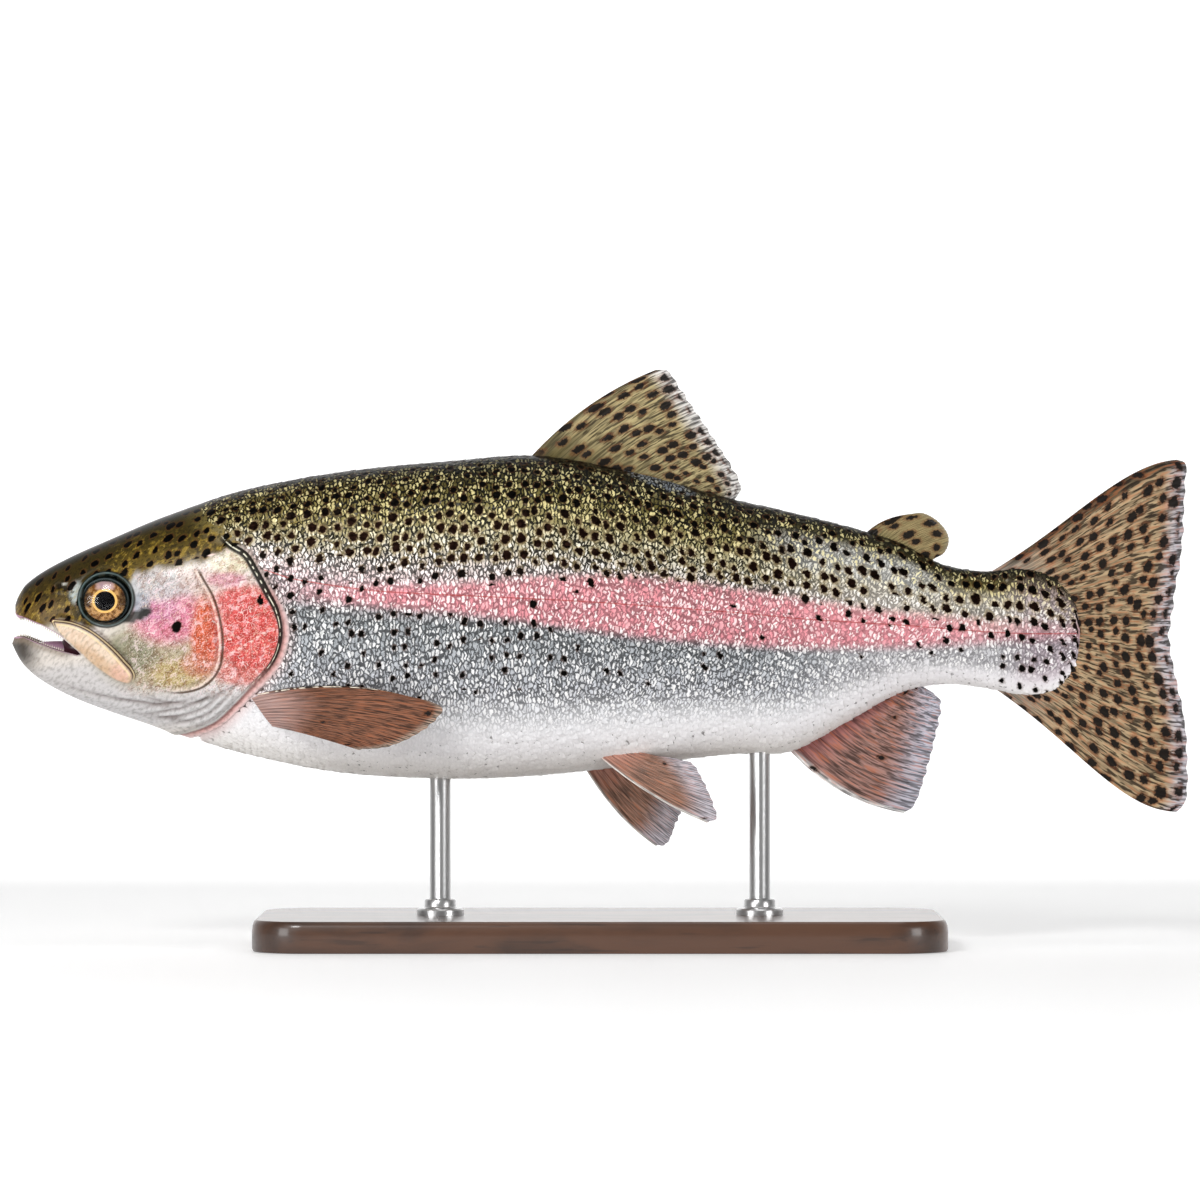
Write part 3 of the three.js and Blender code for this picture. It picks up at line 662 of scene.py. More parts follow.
def make_piece(name, points, faces, material, slot, replaced=(), attributes=None, uv=None, sharp=None):
    """One finished object from arrays. Faces have four corners, and a repeated corner makes a
    triangle. Attributes are {name: values at the points}, and uv gives each point's place on the
    bake map."""
    keep = faces != np.roll(faces, -1, axis=1)
    counts = keep.sum(axis=1)
    whole = counts > 2
    corners, counts = faces[whole][keep[whole]], counts[whole]
    starts = np.concatenate([[0], np.cumsum(counts)[:-1]])
    mesh = bpy.data.meshes.new(name)
    mesh.vertices.add(len(points))
    places = points * MM + [SNOUT_WORLD, 0, AXIS_WORLD]    # from the fish's frame to the row frame
    mesh.vertices.foreach_set("co", places.astype(np.float32).ravel())
    mesh.loops.add(len(corners))
    mesh.loops.foreach_set("vertex_index", corners.astype(np.int32))
    mesh.polygons.add(len(counts))
    mesh.polygons.foreach_set("loop_start", starts.astype(np.int32))
    mesh.update(calc_edges=True)
    for key, values in (attributes or {}).items():
        kind, field = ATTRIBUTE_KINDS[values[0].size]
        mesh.attributes.new(key, kind, "POINT").data.foreach_set(field, values.astype(np.float32).ravel())
    if uv is not None:
        layer = mesh.uv_layers.new(name="OFBake")
        layer.data.foreach_set("uv", uv[corners].astype(np.float32).ravel())
    mesh.shade_smooth()
    if sharp is not None:
        mesh.set_sharp_from_angle(angle=math.radians(sharp))
    if mesh.validate():
        raise RuntimeError(f"{name}: the mesh had faults")
    mesh.materials.append(material)
    made = placed(name, mesh)
    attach(made, "root")
    if replaced:
        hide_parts(*replaced)


def colour_attribute(colour):
    """Colours with an alpha of 1."""
    return stacked(*colour.T, 1)


def lathe(profile, centre, axis, steps=48, squeeze=(1, 1)):
    """A surface of revolution. The profile is (radius, height) from pole to pole, turned round the
    axis through the centre. Squeeze scales the two directions across it."""
    reach, height = np.asarray(profile, float).T[..., None]
    axis = unit(axis)
    first = unit(np.cross(axis, [0, 0, 1]) if abs(axis[2]) < 0.9 else [1, 0, 0])
    second = np.cross(first, axis)
    turn = np.linspace(0, 2 * math.pi, steps, endpoint=False)
    across = np.cos(turn)[:, None] * first * squeeze[0] + np.sin(turn)[:, None] * second * squeeze[1]
    points = np.asarray(centre) + reach * across[:, None] + height * axis
    points = np.concatenate([points, points[:1]]).reshape(-1, 3)
    radius = np.tile(reach[:, 0], steps + 1)
    bearing = np.repeat(np.append(turn, turn[0]), len(reach))
    points, faces, kept = welded(points, grid_faces(steps + 1, len(reach)))
    return points, facing_out(points, faces), radius[kept], bearing[kept]


# ---- skin

JAW_COLUMNS = 46
ROWS_ABOVE, ROWS_BELOW, ROWS_INSIDE = 62, 50, 20
HEAD_PITCH, GILL_PITCH, BODY_SECTIONS = 0.55, 0.4, 122
GILL_FROM, GILL_TO, END_FROM = 78, 112, 396
END_HEIGHT, END_ROUNDING = -4.2, 2
LIP_WIDTH, LIP_ROUNDING = 1.3, 1.6
PALATE_RISE, FLOOR_DROP = 4.4, 3.2
LINING_ARC = 100    # the lining's distances round the body start here, clear of the skin's


def trunk_places():
    """Places of the sections behind the mouth: fine on the head, finest at the gill opening, and
    closing in on the body's end."""
    closing = (BODY_END - END_FROM) * np.linspace(1, 0, 14)[1:] ** 1.6
    return np.concatenate([
        np.arange(MOUTH_CORNER, GILL_FROM, HEAD_PITCH), np.arange(GILL_FROM, GILL_TO, GILL_PITCH),
        np.linspace(GILL_TO, END_FROM, BODY_SECTIONS), BODY_END - closing,
    ])


def trunk_grid(side):
    """The body's side behind the mouth corners: sections at each place, rows at fixed turns. The last
    two millimetres close like the square root of the distance left. It returns the points, the
    distance of each round the body from the back, and 0 for each, as none is in the mouth."""
    x = trunk_places()
    corner = even_share(turn_at(np.array(MOUTH_CORNER), np.array(LOWER_LIP[-1][1])))
    share = np.concatenate([np.linspace(0, corner, ROWS_ABOVE), np.linspace(corner, 1, ROWS_BELOW)[1:]])
    turn = even_turn(share)
    px, py, pz = body_point(x[:, None], turn[None, :], side)
    last = np.sqrt(np.clip((BODY_END - px) / END_ROUNDING, 0, 1))
    py = py * last
    pz = np.where(px > BODY_END - END_ROUNDING, END_HEIGHT + (pz - END_HEIGHT) * last, pz)
    arc = girth(px, np.broadcast_to(turn, px.shape))
    return stacked(px, py, pz), side * arc, np.zeros(px.shape)


def jaw_grid(side, upper):
    """Half of one jaw: rows over its outer face to the lip, then over the lip's flat edge and the
    palate or mouth floor to the midline. The lining rises by 1 - exp(-distance from the lip), less
    and less towards the mouth corners, where palate and floor meet. It returns what trunk_grid
    does, with 1 for the points of the lining."""
    tip, height = (UPPER_TIP, UPPER_TIP_HEIGHT) if upper else (LOWER_TIP, LOWER_TIP_HEIGHT)
    x = tip + (MOUTH_CORNER - tip) * np.linspace(0, 1, JAW_COLUMNS) ** 1.6
    at = np.maximum(x, NOSE_LENGTH)
    lip = even_share(turn_at(at, through(UPPER_LIP if upper else LOWER_LIP, at)))[:, None]
    along_rows = np.linspace(0, 1, ROWS_ABOVE if upper else ROWS_BELOW)[None, :]
    share = lip * along_rows if upper else lip + (1 - lip) * along_rows
    turn = even_turn(share)
    px, py, pz = body_point(x[:, None], turn, side, tip=tip, tip_height=height)
    arc = girth(px, turn)
    edge = -1 if upper else 0
    q = np.linspace(0, 1, ROWS_INSIDE + 1)[None, 1:]
    y_lip, z_lip = py[:, edge, None], pz[:, edge, None]
    inwards = np.abs(y_lip) * q
    room = (1 - (x / MOUTH_CORNER) ** 3) * np.clip((x - tip) / 7, 0, 1) ** 0.5
    rise = (PALATE_RISE if upper else -FLOOR_DROP) * room[:, None]
    z_in = z_lip + rise * (1 - np.exp(-np.maximum(inwards - LIP_WIDTH, 0) / LIP_ROUNDING))
    outer = stacked(px, py, pz), arc, np.zeros(px.shape)
    inner = stacked(x[:, None], y_lip * (1 - q), z_in), LINING_ARC + inwards, np.ones(z_in.shape)
    pairs = zip(outer, inner) if upper else zip((part[:, ::-1] for part in inner), outer)
    points, arcs, insides = (np.concatenate(pair, axis=1) for pair in pairs)
    return points, side * arcs, insides


def skin_arrays():
    """The whole skin as one closed surface: both sides of the trunk and of each jaw, welded along
    the midlines and the mouth corners, then moved along its normals by the head's relief."""
    points, faces, arcs, insides = [], [], [], []
    start = 0
    for side in (-1, 1):
        for grid in (trunk_grid(side), jaw_grid(side, True), jaw_grid(side, False)):
            columns, rows = grid[1].shape
            points.append(grid[0].reshape(-1, 3))
            arcs.append(grid[1].ravel())
            insides.append(grid[2].ravel())
            faces.append(grid_faces(columns, rows, flip=side > 0) + start)
            start += columns * rows
    points, faces, kept = welded(np.concatenate(points), np.concatenate(faces))
    faces = facing_out(points, faces)
    arc, lining = np.concatenate(arcs)[kept], np.concatenate(insides)[kept]
    x, z = points[:, 0].copy(), points[:, 2].copy()
    relief, crease_shade = np.zeros(len(x)), np.zeros(len(x))
    on_head = (x < HEAD_END) & (lining == 0)
    relief[on_head], crease_shade[on_head] = head_relief(x[on_head], z[on_head])
    lip = step(0.3, 3, x) * (1 - lining) * (x < MOUTH_CORNER + 3)
    gap = np.where(z > through(LATERAL_LINE, x) - 30, np.abs(z - through(UPPER_LIP, x)), 9)
    gap = np.minimum(gap, np.abs(z - through(LOWER_LIP, x)))
    relief -= 0.5 * lip * step(2, 0, gap)
    moved = points + normals_of(points, faces) * (relief - SKIN_INSET)[:, None]
    return moved, faces, x, z, arc, lining, crease_shade


# ---- scales

SCALE_FROM, SCALE_END = 74, 408
REAR_EDGE, REAR_HOLLOW = 407.6, 0.011    # the scales end on a parabola ahead of the tail's foot
SPLIT_BELOW = 4    # the two pieces of one side meet this far below the side line
COLUMN_PITCH = 0.94    # distance between columns of scales as a share of the row height
ROWS_UP, ROWS_DOWN = 40, 46    # rows tried above and below the side line
ROOT_SHIFT, ROW_SHIFT = 0.27, 0.24    # how unevenly the roots lie, along the body and round it
SCALE_LEAN, SCALE_SPIN = 0.1, 0.22
SCALE_HALF_WIDTH = 0.62    # as a share of the row height, so that neighbours overlap
ROOT_SHARE = 0.35    # how much of a scale's length lies ahead of its root
SCALE_DEPTH = 0.12    # how far below the skin a scale's root starts
# Place, and the width of a scale row there as a share of its width at mid body.
ROW_HEIGHTS = [(90, 0.86), (130, 0.96), (230, 1), (330, 0.86), (404, 0.74)]
MAP_PATCH = 0.003
MAP_LENGTH, MAP_GIRTH = 420, 290    # sizes that the bake map's whole width and height stand for
# One scale seen from above: stations from root to free edge, and the half width at each.
SCALE_STATIONS = np.array([0, 0.38, 0.78, 1])
SCALE_WIDTHS = np.array([0.62, 1, 0.92, 0.46])
SCALE_ACROSS = np.array([-1, -0.42, 0.42, 1])
SCALE_RIM = np.array([0, 4, 8, 12, 13, 14, 15, 11, 7, 3, 2, 1])    # the grid's outer points, in turn


def scale_template():
    """One scale as a closed shell: a domed 4 by 4 grid on top, walls, and a fan of faces below. The
    dome is a half wave along the length times a parabola across it.
    Returns points as (share of length, share of half width, lift), and its faces."""
    u, v = np.meshgrid(SCALE_STATIONS, SCALE_ACROSS, indexing="ij")
    width = SCALE_WIDTHS[:, None] * v
    length = u - 0.16 * u * v**2
    lift = (1 - 0.75 * v**2) * np.sin(math.pi * np.clip(0.1 + 0.72 * u, 0, 1))
    top = stacked(length, width, lift).reshape(-1, 3)
    points = np.concatenate([top, top[SCALE_RIM] - [0, 0, 0.22], [[0.5, 0, -0.25]]])
    count = len(SCALE_RIM)
    ring = np.arange(count)
    following = (ring + 1) % count
    under, centre = len(top), len(top) + count
    walls = stacked(SCALE_RIM, SCALE_RIM[following], under + following, under + ring)
    base = stacked(under + ring, under + following, centre, centre)
    return points, np.concatenate([grid_faces(4, 4), walls, base])


def surface_at(x, arc, side):
    """Point, outward normal, and unit vectors backwards and round the body, on the skin's plain form
    at a place along the body and a distance round it from the back."""
    def point(px, parc):
        low, share = table_place(px[:, None] / BODY_END, len(GIRTH_X))
        ring = GIRTH[low[:, 0]] * (1 - share) + GIRTH[low[:, 0] + 1] * share
        at = (ring < parc[:, None]).sum(axis=1).clip(1, len(GIRTH_TURN) - 1)
        rows = np.arange(len(px))
        near, far = ring[rows, at - 1], ring[rows, at]
        turn = GIRTH_TURN[at - 1] + (parc - near) / np.maximum(far - near, 1e-9) * GIRTH_TURN[1]
        return stacked(*body_point(px, np.clip(turn, 0, 1), side)), ring[:, -1]
    here, total = point(x, arc)
    back = unit(point(x + 0.8, arc)[0] - point(x - 0.8, arc)[0])
    down = point(x, np.minimum(arc + 0.5, total))[0] - point(x, np.maximum(arc - 0.5, 0))[0]
    out = unit(np.cross(down, back) * -side)
    return here, out, back, np.cross(out, back) * side


def scale_roots(side, length, height, seed):
    """Roots of the scales of one side. Rows run at whole row heights from the side line, every other
    column is half a row off, and rows end at the midlines."""
    random = np.random.default_rng(seed)
    places = np.arange(SCALE_FROM, SCALE_END, height * COLUMN_PITCH)
    x, k = np.meshgrid(places, np.arange(-ROWS_UP, ROWS_DOWN), indexing="ij")
    k = k + 0.5 * (np.arange(len(places)) % 2)[:, None]
    x = x + random.normal(0, ROOT_SHIFT, x.shape)
    line = girth(x, turn_at(x, through(LATERAL_LINE, x)))
    total = girth(x, np.ones(x.shape))
    h = height * np.interp(x, *zip(*ROW_HEIGHTS))
    arc = line + k * h + random.normal(0, ROW_SHIFT, x.shape)
    kept = (arc > 0.4 * h) & (arc < total - 0.4 * h)
    x, arc, h = x[kept], arc[kept], h[kept]
    here, out, back, down = surface_at(x, arc, side)
    start, _ = beside(here[:, 0], here[:, 2], SCALE_START)
    kept = (start > 0) & (x < REAR_EDGE - REAR_HOLLOW * (here[:, 2] + 4) ** 2)
    roots = {"x": x, "arc": arc, "h": h, "here": here, "out": out, "back": back, "down": down, "start": start}
    return {name: values[kept] for name, values in roots.items()} | {"length": length, "random": random}


def scale_arrays(side, roots, chosen):
    """All the chosen scales of one side as one joined surface: the template's points times each
    scale's length, width and lift, turned and tilted a little at random, laid on the skin at its
    root. A scale's length goes with its row's height. On the back, the belly and near the head the
    scales lie flatter."""
    points, faces = scale_template()
    random = roots["random"]
    n = int(chosen.sum())
    x, arc, h, here, out, back, down, start = (
        roots[name][chosen] for name in ("x", "arc", "h", "here", "out", "back", "down", "start"))
    length = (roots["length"] * h / h.max() * random.uniform(0.86, 1.14, n))[:, None]
    lean = random.normal(0, SCALE_LEAN, n)[:, None]
    roll = random.normal(0, SCALE_LEAN, n)[:, None]
    grain = random.uniform(0, 1, n)
    spin = random.normal(0, SCALE_SPIN, n)[:, None]
    u, v, lift = points.T[:, None]
    backwards = (u - ROOT_SHARE) * length
    sideways = v * SCALE_HALF_WIDTH * h[:, None]
    along_back = backwards * np.cos(spin) - sideways * np.sin(spin)
    across = sideways * np.cos(spin) + backwards * np.sin(spin)
    level = side_height(here[:, 0], here[:, 2])
    proud = (1 - 0.55 * step(0.7, 1, level)) * (1 - 0.6 * step(-0.5, -0.85, level))
    proud = (proud * (0.35 + 0.65 * step(0, 9, start)))[:, None]
    height = (u * 0.6 + 0.24 * lift) + lean * (u - 0.4) * 3 + roll * across
    height = height * proud - SKIN_INSET - SCALE_DEPTH
    shape = (here[:, None] + along_back[..., None] * back[:, None] + across[..., None] * down[:, None]
             + height[..., None] * out[:, None])
    everything = (np.arange(n)[:, None, None] * len(points) + faces[None]).reshape(-1, 4)
    uv = (stacked(x / MAP_LENGTH, 0.5 + side * arc / MAP_GIRTH)[:, None]
          + MAP_PATCH * stacked(u - 0.5, v / 2))
    return {
        "points": shape.reshape(-1, 3), "faces": everything, "uv": uv.reshape(-1, 2),
        "x": (x[:, None] + along_back).ravel(), "arc": side * (arc[:, None] + across).ravel(),
        "grain": np.repeat(grain, len(points)), "edge": np.tile(points[:, 0], n),
    }


# ---- fins

def spaced(points, share):
    """Points at even shares of the length of a smooth curve through a few points."""
    curve = drawn(points, 24)
    length = np.concatenate([[0], np.cumsum(np.linalg.norm(np.diff(curve, axis=0), axis=1))])
    at = np.asarray(share) * length[-1]
    return stacked(*(np.interp(at, length, axis) for axis in curve.T))


FINS = {
    "dorsal_fin": {
        "base": [(196, 0, 61), (235, 0, 52), (264, 0, 44)],
        "edge": [(246.4, 0, 97.2), (250.8, 0, 97.2), (256, 0, 90.2), (266.3, 0, 74.6), (275.6, 0, 60.6),
                 (279.2, 0, 51.6), (276.6, 0, 47.8)],
        "bow": ((-1.8, 0, 3.4), (0, 0, 0)), "thick": 3.2, "rays": 12, "fray": 0.9, "wave": 1.1,
        "colours": ((98, 88, 52), (176, 160, 116), (226, 222, 218)), "lead": (110, 100, 70),
        "spots": (0.96, 1.5, 5.2), "margin": 6.5, "dashes": 0.8,
    },
    "adipose_fin": {
        "base": [(325, 0, 33), (350, 0, 21)],
        "edge": [(343, 0, 42), (348.5, 0, 42.4), (355, 0, 38.6), (358.4, 0, 32.6), (356.4, 0, 27),
                 (352, 0, 25)],
        "bow": ((-1.4, 0, 1.6), (0, 0, 0)), "thick": 2.8, "rays": 22, "fray": 0.25, "wave": 0.3,
        "colours": ((128, 120, 76), (164, 146, 102), (176, 162, 132)), "lead": (96, 84, 54),
        "spots": (1, 1.6, 5), "margin": 0.5, "dashes": 0.15,
    },
    "tail_fin": {
        "base": [(371, 0, 18), (386, 0, -2), (372, 0, -22)],
        "edge": [(445.4, 0, 62.8), (448.9, 0, 61.4), (449, 0, 54), (447.4, 0, 28), (444.2, 0, 5),
                 (442.9, 0, -5), (445.4, 0, -19), (448.6, 0, -35), (449.8, 0, -50), (449.7, 0, -62),
                 (448.4, 0, -69), (445.2, 0, -71.7)],
        "bow": ((-0.6, 0, 4.6), (-0.8, 0, -5.8)), "peak": 0.73, "thick": 3.8, "rays": 19, "fray": 1,
        "wave": 0.8, "colours": ((164, 150, 136), (178, 154, 120), (196, 190, 196)), "lead": (70, 60, 44),
        "spots": (0.97, 1.4, 5.1), "margin": 7, "dashes": 0.85, "flame": 0.3,
    },
    "anal_fin": {
        "base": [(293, 0, -43), (320, 0, -32), (342, 0, -20)],
        "edge": [(341, 0, -72.2), (344.6, 0, -70.4), (348.6, 0, -61), (351.8, 0, -50), (354.6, 0, -38),
                 (355.4, 0, -29.4), (352, 0, -26)],
        "bow": ((-2.2, 0, -5), (0, 0, 0)), "thick": 3, "rays": 11, "fray": 0.9, "wave": 0.9,
        "colours": ((154, 94, 92), (164, 126, 116), (190, 188, 200)), "lead": (240, 238, 236),
        "spots": (0.12, 0.8, 4.4), "margin": 11, "dashes": 0.6, "flame": 0.34,
    },
}
PELVIC_LOOK = {
    "thick": 2.6, "rays": 9, "fray": 0.9, "wave": 0.6, "lead": (240, 236, 230),
    "colours": ((184, 132, 116), (160, 122, 104), (200, 194, 202)), "spots": (0.05, 0.8, 4.5),
    "margin": 11, "dashes": 0.42, "flame": 0.26,
}
FINS["pelvic_fin_left"] = PELVIC_LOOK | {
    "base": [(219.5, -10, -46), (232, -11, -48.5), (240, -10.5, -49)],
    "edge": [(265.4, -24, -75), (269.4, -24, -73.6), (268.2, -23, -68), (264.8, -21.5, -60),
             (260, -20, -52.4), (256, -18.5, -51)],
    "bow": ((-0.6, -1.5, -2.4), (0, -1, 0)),
}
FINS["pelvic_fin_right"] = PELVIC_LOOK | {
    "base": [(217, 7, -51), (231, 10, -51), (239, 9.5, -50.4)],
    "edge": [(246.4, 19, -85.4), (250.6, 19, -84.8), (254.6, 19.5, -77), (257, 19.5, -69),
             (254, 18.5, -66)],
    "bow": ((-1.5, 1.5, -2.6), (0, 1, 0)),
}


def pectoral(side):
    """One pectoral fin, which starts low behind the gill opening."""
    return {
        "base": [(93, side * 25.2, -26.8), (97.5, side * 24, -32.8), (102, side * 21.3, -38.8)],
        "edge": [(153, side * 40, -26.6), (163, side * 41.5, -29.4), (166.4, side * 42, -32),
                 (160, side * 41, -39), (147, side * 38.5, -45.6), (134, side * 35, -47.4)],
        "bow": ((0, side * 2.4, 3.6), (0, side * 2.4, 0.6)), "thick": 2.6, "rays": 13, "fray": 0.8,
        "wave": 0.5, "colours": ((182, 150, 142), (138, 92, 70), (180, 158, 140)), "lead": (34, 28, 22),
        "spots": (0.05, 0.8, 5), "margin": 3, "dashes": 0.7, "flame": 0.22, "glints": 0.9,
    }


FINS["pectoral_fin_left"] = pectoral(-1)
FINS["pectoral_fin_right"] = pectoral(1)
FIN_COLUMNS_PER_RAY, FIN_ROWS = 9, 64
FIN_EDGE_THICKNESS, FIN_CORNER = 0.55, 0.05
NOTCH_DEPTH, TEAR_DEPTH = 0.55, 0.5    # how far the margin is cut between the rays
PATTERN_SHIFT = 40    # keeps the fins' patterns apart


def ray_profile(u, v, rays):
    """1 on a fin ray and 0 between two. Each ray forks in two over the outer half of the fin."""
    single = 0.5 + 0.5 * np.cos(2 * math.pi * rays * v)
    forked = 0.5 - 0.5 * np.cos(4 * math.pi * rays * v + math.pi)
    return single + (forked - single) * step(0.25, 0.5, u)


def fin_arrays(fin, seed):
    """One fin as a closed sheet. A point of its middle is base(v) + (edge(v) - base(v)) u plus the
    bow times u^p (1 - u) scaled to 1 at its peak, where u runs along the rays and v across them. It
    is moved to each face by half a thickness with the rays standing out, and the outer edge is
    scalloped between the rays."""
    random = np.random.default_rng(seed)
    rays = fin["rays"]
    lines = rays * FIN_COLUMNS_PER_RAY + 1
    sheet = lines * FIN_ROWS
    v = np.linspace(0, 1, lines)[:, None]
    u = (np.linspace(0, 1, FIN_ROWS) ** 0.85)[None, :]
    notch = 0.5 - 0.5 * np.cos(2 * math.pi * rays * v)
    tear = np.interp(v[:, 0], np.linspace(0, 1, rays * 2 + 1), random.uniform(0, 1, rays * 2 + 1))[:, None]
    base, edge = spaced(fin["base"], v[:, 0])[:, None], spaced(fin["edge"], v[:, 0])[:, None]
    reach = np.linalg.norm(edge - base, axis=-1)
    ends = np.clip(v / FIN_CORNER, 0, 1) * np.clip((1 - v) / FIN_CORNER, 0, 1)
    cut = fin["fray"] * (NOTCH_DEPTH * notch + TEAR_DEPTH * tear) * ends / reach
    us = u * (1 - cut * step(0.6, 1, u))
    peak = fin.get("peak", 0.5)
    power = peak / (1 - peak)
    bend = us**power * (1 - us) / (peak**power * (1 - peak))
    first, last = np.array(fin["bow"])
    bow = first + (last - first) * v[..., None]
    middle = base + (edge - base) * us[..., None] + bow * bend[..., None]
    out = unit(np.cross(np.gradient(middle, axis=1), np.gradient(middle, axis=0)))
    ripple = fin["wave"] * us**1.5 * (np.sin(5.2 * v + 1.4 * us + seed) + 0.5 * np.sin(13 * v + seed))
    swell = 0.45 + 0.55 * np.sqrt(np.clip(np.sin(math.pi * v), 0, 1))
    half = (fin["thick"] + (FIN_EDGE_THICKNESS - fin["thick"]) * np.sqrt(us)) / 2 * swell
    ray = ray_profile(us, v, rays)
    half = half * (0.9 + 0.1 * ray) + 0.05 * ray
    shore = np.clip((1 - us) * reach / 1.2, 0, 1) ** 0.5
    half = half * np.maximum(shore, 0.25) * np.maximum(ends**0.5, 0.3)
    faces, points, coordinates = [], [], []
    for face in (-1, 1):
        points.append((middle + out * (ripple + face * half)[..., None]).reshape(-1, 3))
        faces.append(grid_faces(lines, FIN_ROWS, flip=face > 0) + (face > 0) * sheet)
        coordinates.append(stacked(us, v, (1 - us) * reach).reshape(-1, 3))
    index = np.arange(sheet).reshape(lines, FIN_ROWS)
    border = np.concatenate([index[:-1, 0], index[-1, :-1], index[:0:-1, -1], index[0, :0:-1]])
    following = np.roll(border, -1)
    walls = stacked(border, following, following + sheet, border + sheet)
    faces = np.concatenate(faces + [walls[:, ::-1]])
    points = np.concatenate(points)
    return points, facing_out(points, faces), np.concatenate(coordinates), reach


def fin_tint(fin, coordinates):
    """The fin's colour before spots: from its base colour over the middle one to its margin's."""
    u, v, shore = coordinates.T
    base, middle, margin = (linear(*c) for c in fin["colours"])
    colour = painted(np.broadcast_to(base, (len(u), 3)), middle, step(0.06, 0.4, u))
    colour = painted(colour, margin, step(fin["margin"] * 1.5, fin["margin"] * 0.3, shore))
    return painted(colour, linear(*fin["lead"]), 0.92 * step(0.055, 0.02, v) * step(0.05, 0.2, u))


# ---- eyes, mouth and stand

EYE_SUNK = 3.6
EYE_SQUEEZE = (1, 0.93)
EYE_PROFILE = [(0, 1), (1.2, 0.95), (2.4, 0.72), (3.3, 0.32), (3.7, 0), (3.95, -0.1), (4.6, -0.02),
               (5.6, -0.25), (6.8, -0.35), (7.8, -0.2), (8.5, 0), (9.2, -0.3), (9.9, -1.2), (10.2, -2.6),
               (9.4, -5.4), (7.2, -7.8), (4, -9.2), (0, -9.8)]
CORNEA_PROFILE = [(0, 2.5), (2, 2.42), (4, 2.16), (6, 1.72), (8, 1.02), (9.3, 0.3), (10, -0.6),
                  (10.25, -1.8), (9.7, -1.8), (9.2, -0.5), (8, 0.6), (6, 1.3), (4, 1.75), (2, 2),
                  (0, 2.08)]
EYE_FRONT = 1.2
EYE_AXIS = (-0.16, 1, 0.03)    # outward direction, turned a little forwards, for the right eye
IRIS_DEPTH = 2.5    # the markings of the iris reach this far behind its plane
PROFILE_STEPS, EYE_FACETS = 5, 96


def eye_place(side):
    """Centre of the iris plane, a little inside the body form, and the eye's outward direction."""
    widest, reach, fullness = section(EYE_X, True)
    half = along(HALF_WIDTH, EYE_X) * (1 - ((EYE_Z - widest) / reach) ** fullness) ** (1 / fullness)
    centre = np.array([EYE_X, side * (half - EYE_SUNK + EYE_FRONT), EYE_Z])
    return centre, unit(np.array(EYE_AXIS) * [1, side, 1])


TONGUE = {"centre": (17.5, 0, -9.4), "radii": (13, 6, 3)}
LINING = {"centre": (28, 0, -9.2), "radii": (9.6, 8.8, 6)}


def ellipsoid(centre, radii, across=48, down=24):
    """A ball stretched along the three axes: a half circle turned round the upright axis."""
    angle = np.linspace(0, math.pi, down + 1)
    points, faces, _, _ = lathe(stacked(np.sin(angle), np.cos(angle)), (0, 0, 0), (0, 0, 1), across)
    return points * np.array(radii) + np.array(centre), faces


TOOTH_FACES, TOOTH_RADIUS, TOOTH_LEAN, TOOTH_INSET = 5, 0.26, 0.12, 1.5
TOOTH_FROM, TOOTH_TO, TEETH_PER_ROW = 3.2, 21, 22


def teeth_arrays(count, height, seed):
    """Small cones along both lips, each a closed fan of five faces leaning inwards, as far inside the
    lip as the inset and at even places from the snout back."""
    random = np.random.default_rng(seed)
    places = np.linspace(TOOTH_FROM, TOOTH_TO, count)
    i = np.arange(TOOTH_FACES)
    turns = i * 2 * math.pi / TOOTH_FACES
    ring = stacked(np.cos(turns), np.sin(turns), 0) * TOOTH_RADIUS
    cone = np.concatenate([ring, [[TOOTH_LEAN, 0, 1]], [[0, 0, -0.3]]])
    following = (i + 1) % TOOTH_FACES
    tip, foot = TOOTH_FACES, TOOTH_FACES + 1
    faces = np.concatenate([stacked(i, following, tip, tip), stacked(following, i, foot, foot)])
    points = []
    for side in (-1, 1):
        for line, up in ((UPPER_LIP, -1), (LOWER_LIP, 1)):
            z = through(line, places)
            y = np.abs(body_point(places, turn_at(places, z), 1)[1]) - TOOTH_INSET
            tall = height * random.uniform(0.7, 1.2, count)
            shape = cone * stacked(1, -side, up * tall)[:, None]
            points.append(stacked(places, side * y, z + up * -0.15)[:, None] + shape)
    points = np.concatenate(points)
    everything = (np.arange(len(points))[:, None, None] * len(cone) + faces[None]).reshape(-1, 4)
    return points.reshape(-1, 3), everything


BASE_SIZE, BASE_HEIGHT, BASE_CORNER = np.array([262, 112]), 12, 20
# The base's section from its underside round to its top: share of the outline and of the height.
BASE_PROFILE = [(0, 0), (0.9, 0), (0.985, 0.02), (1, 0.1), (1, 0.62), (0.992, 0.82), (0.975, 0.95),
                (0.95, 1), (0.5, 1), (0, 1)]
CORNER_POINTS, RIM_DEPTH = 14, 1.6
ROD_RADIUS = 4
ROD_SINKS = 3    # how far a rod runs up into the belly
# A rod's collar: radius and height above the base.
COLLAR = [(0, -0.5), (8.6, -0.5), (9, -0.1), (9, 1.9), (8.5, 2.5), (6.4, 2.8), (6, 3.2), (6, 5.4),
          (5.6, 6), (ROD_RADIUS + 0.2, 6.2), (ROD_RADIUS, 6.6)]


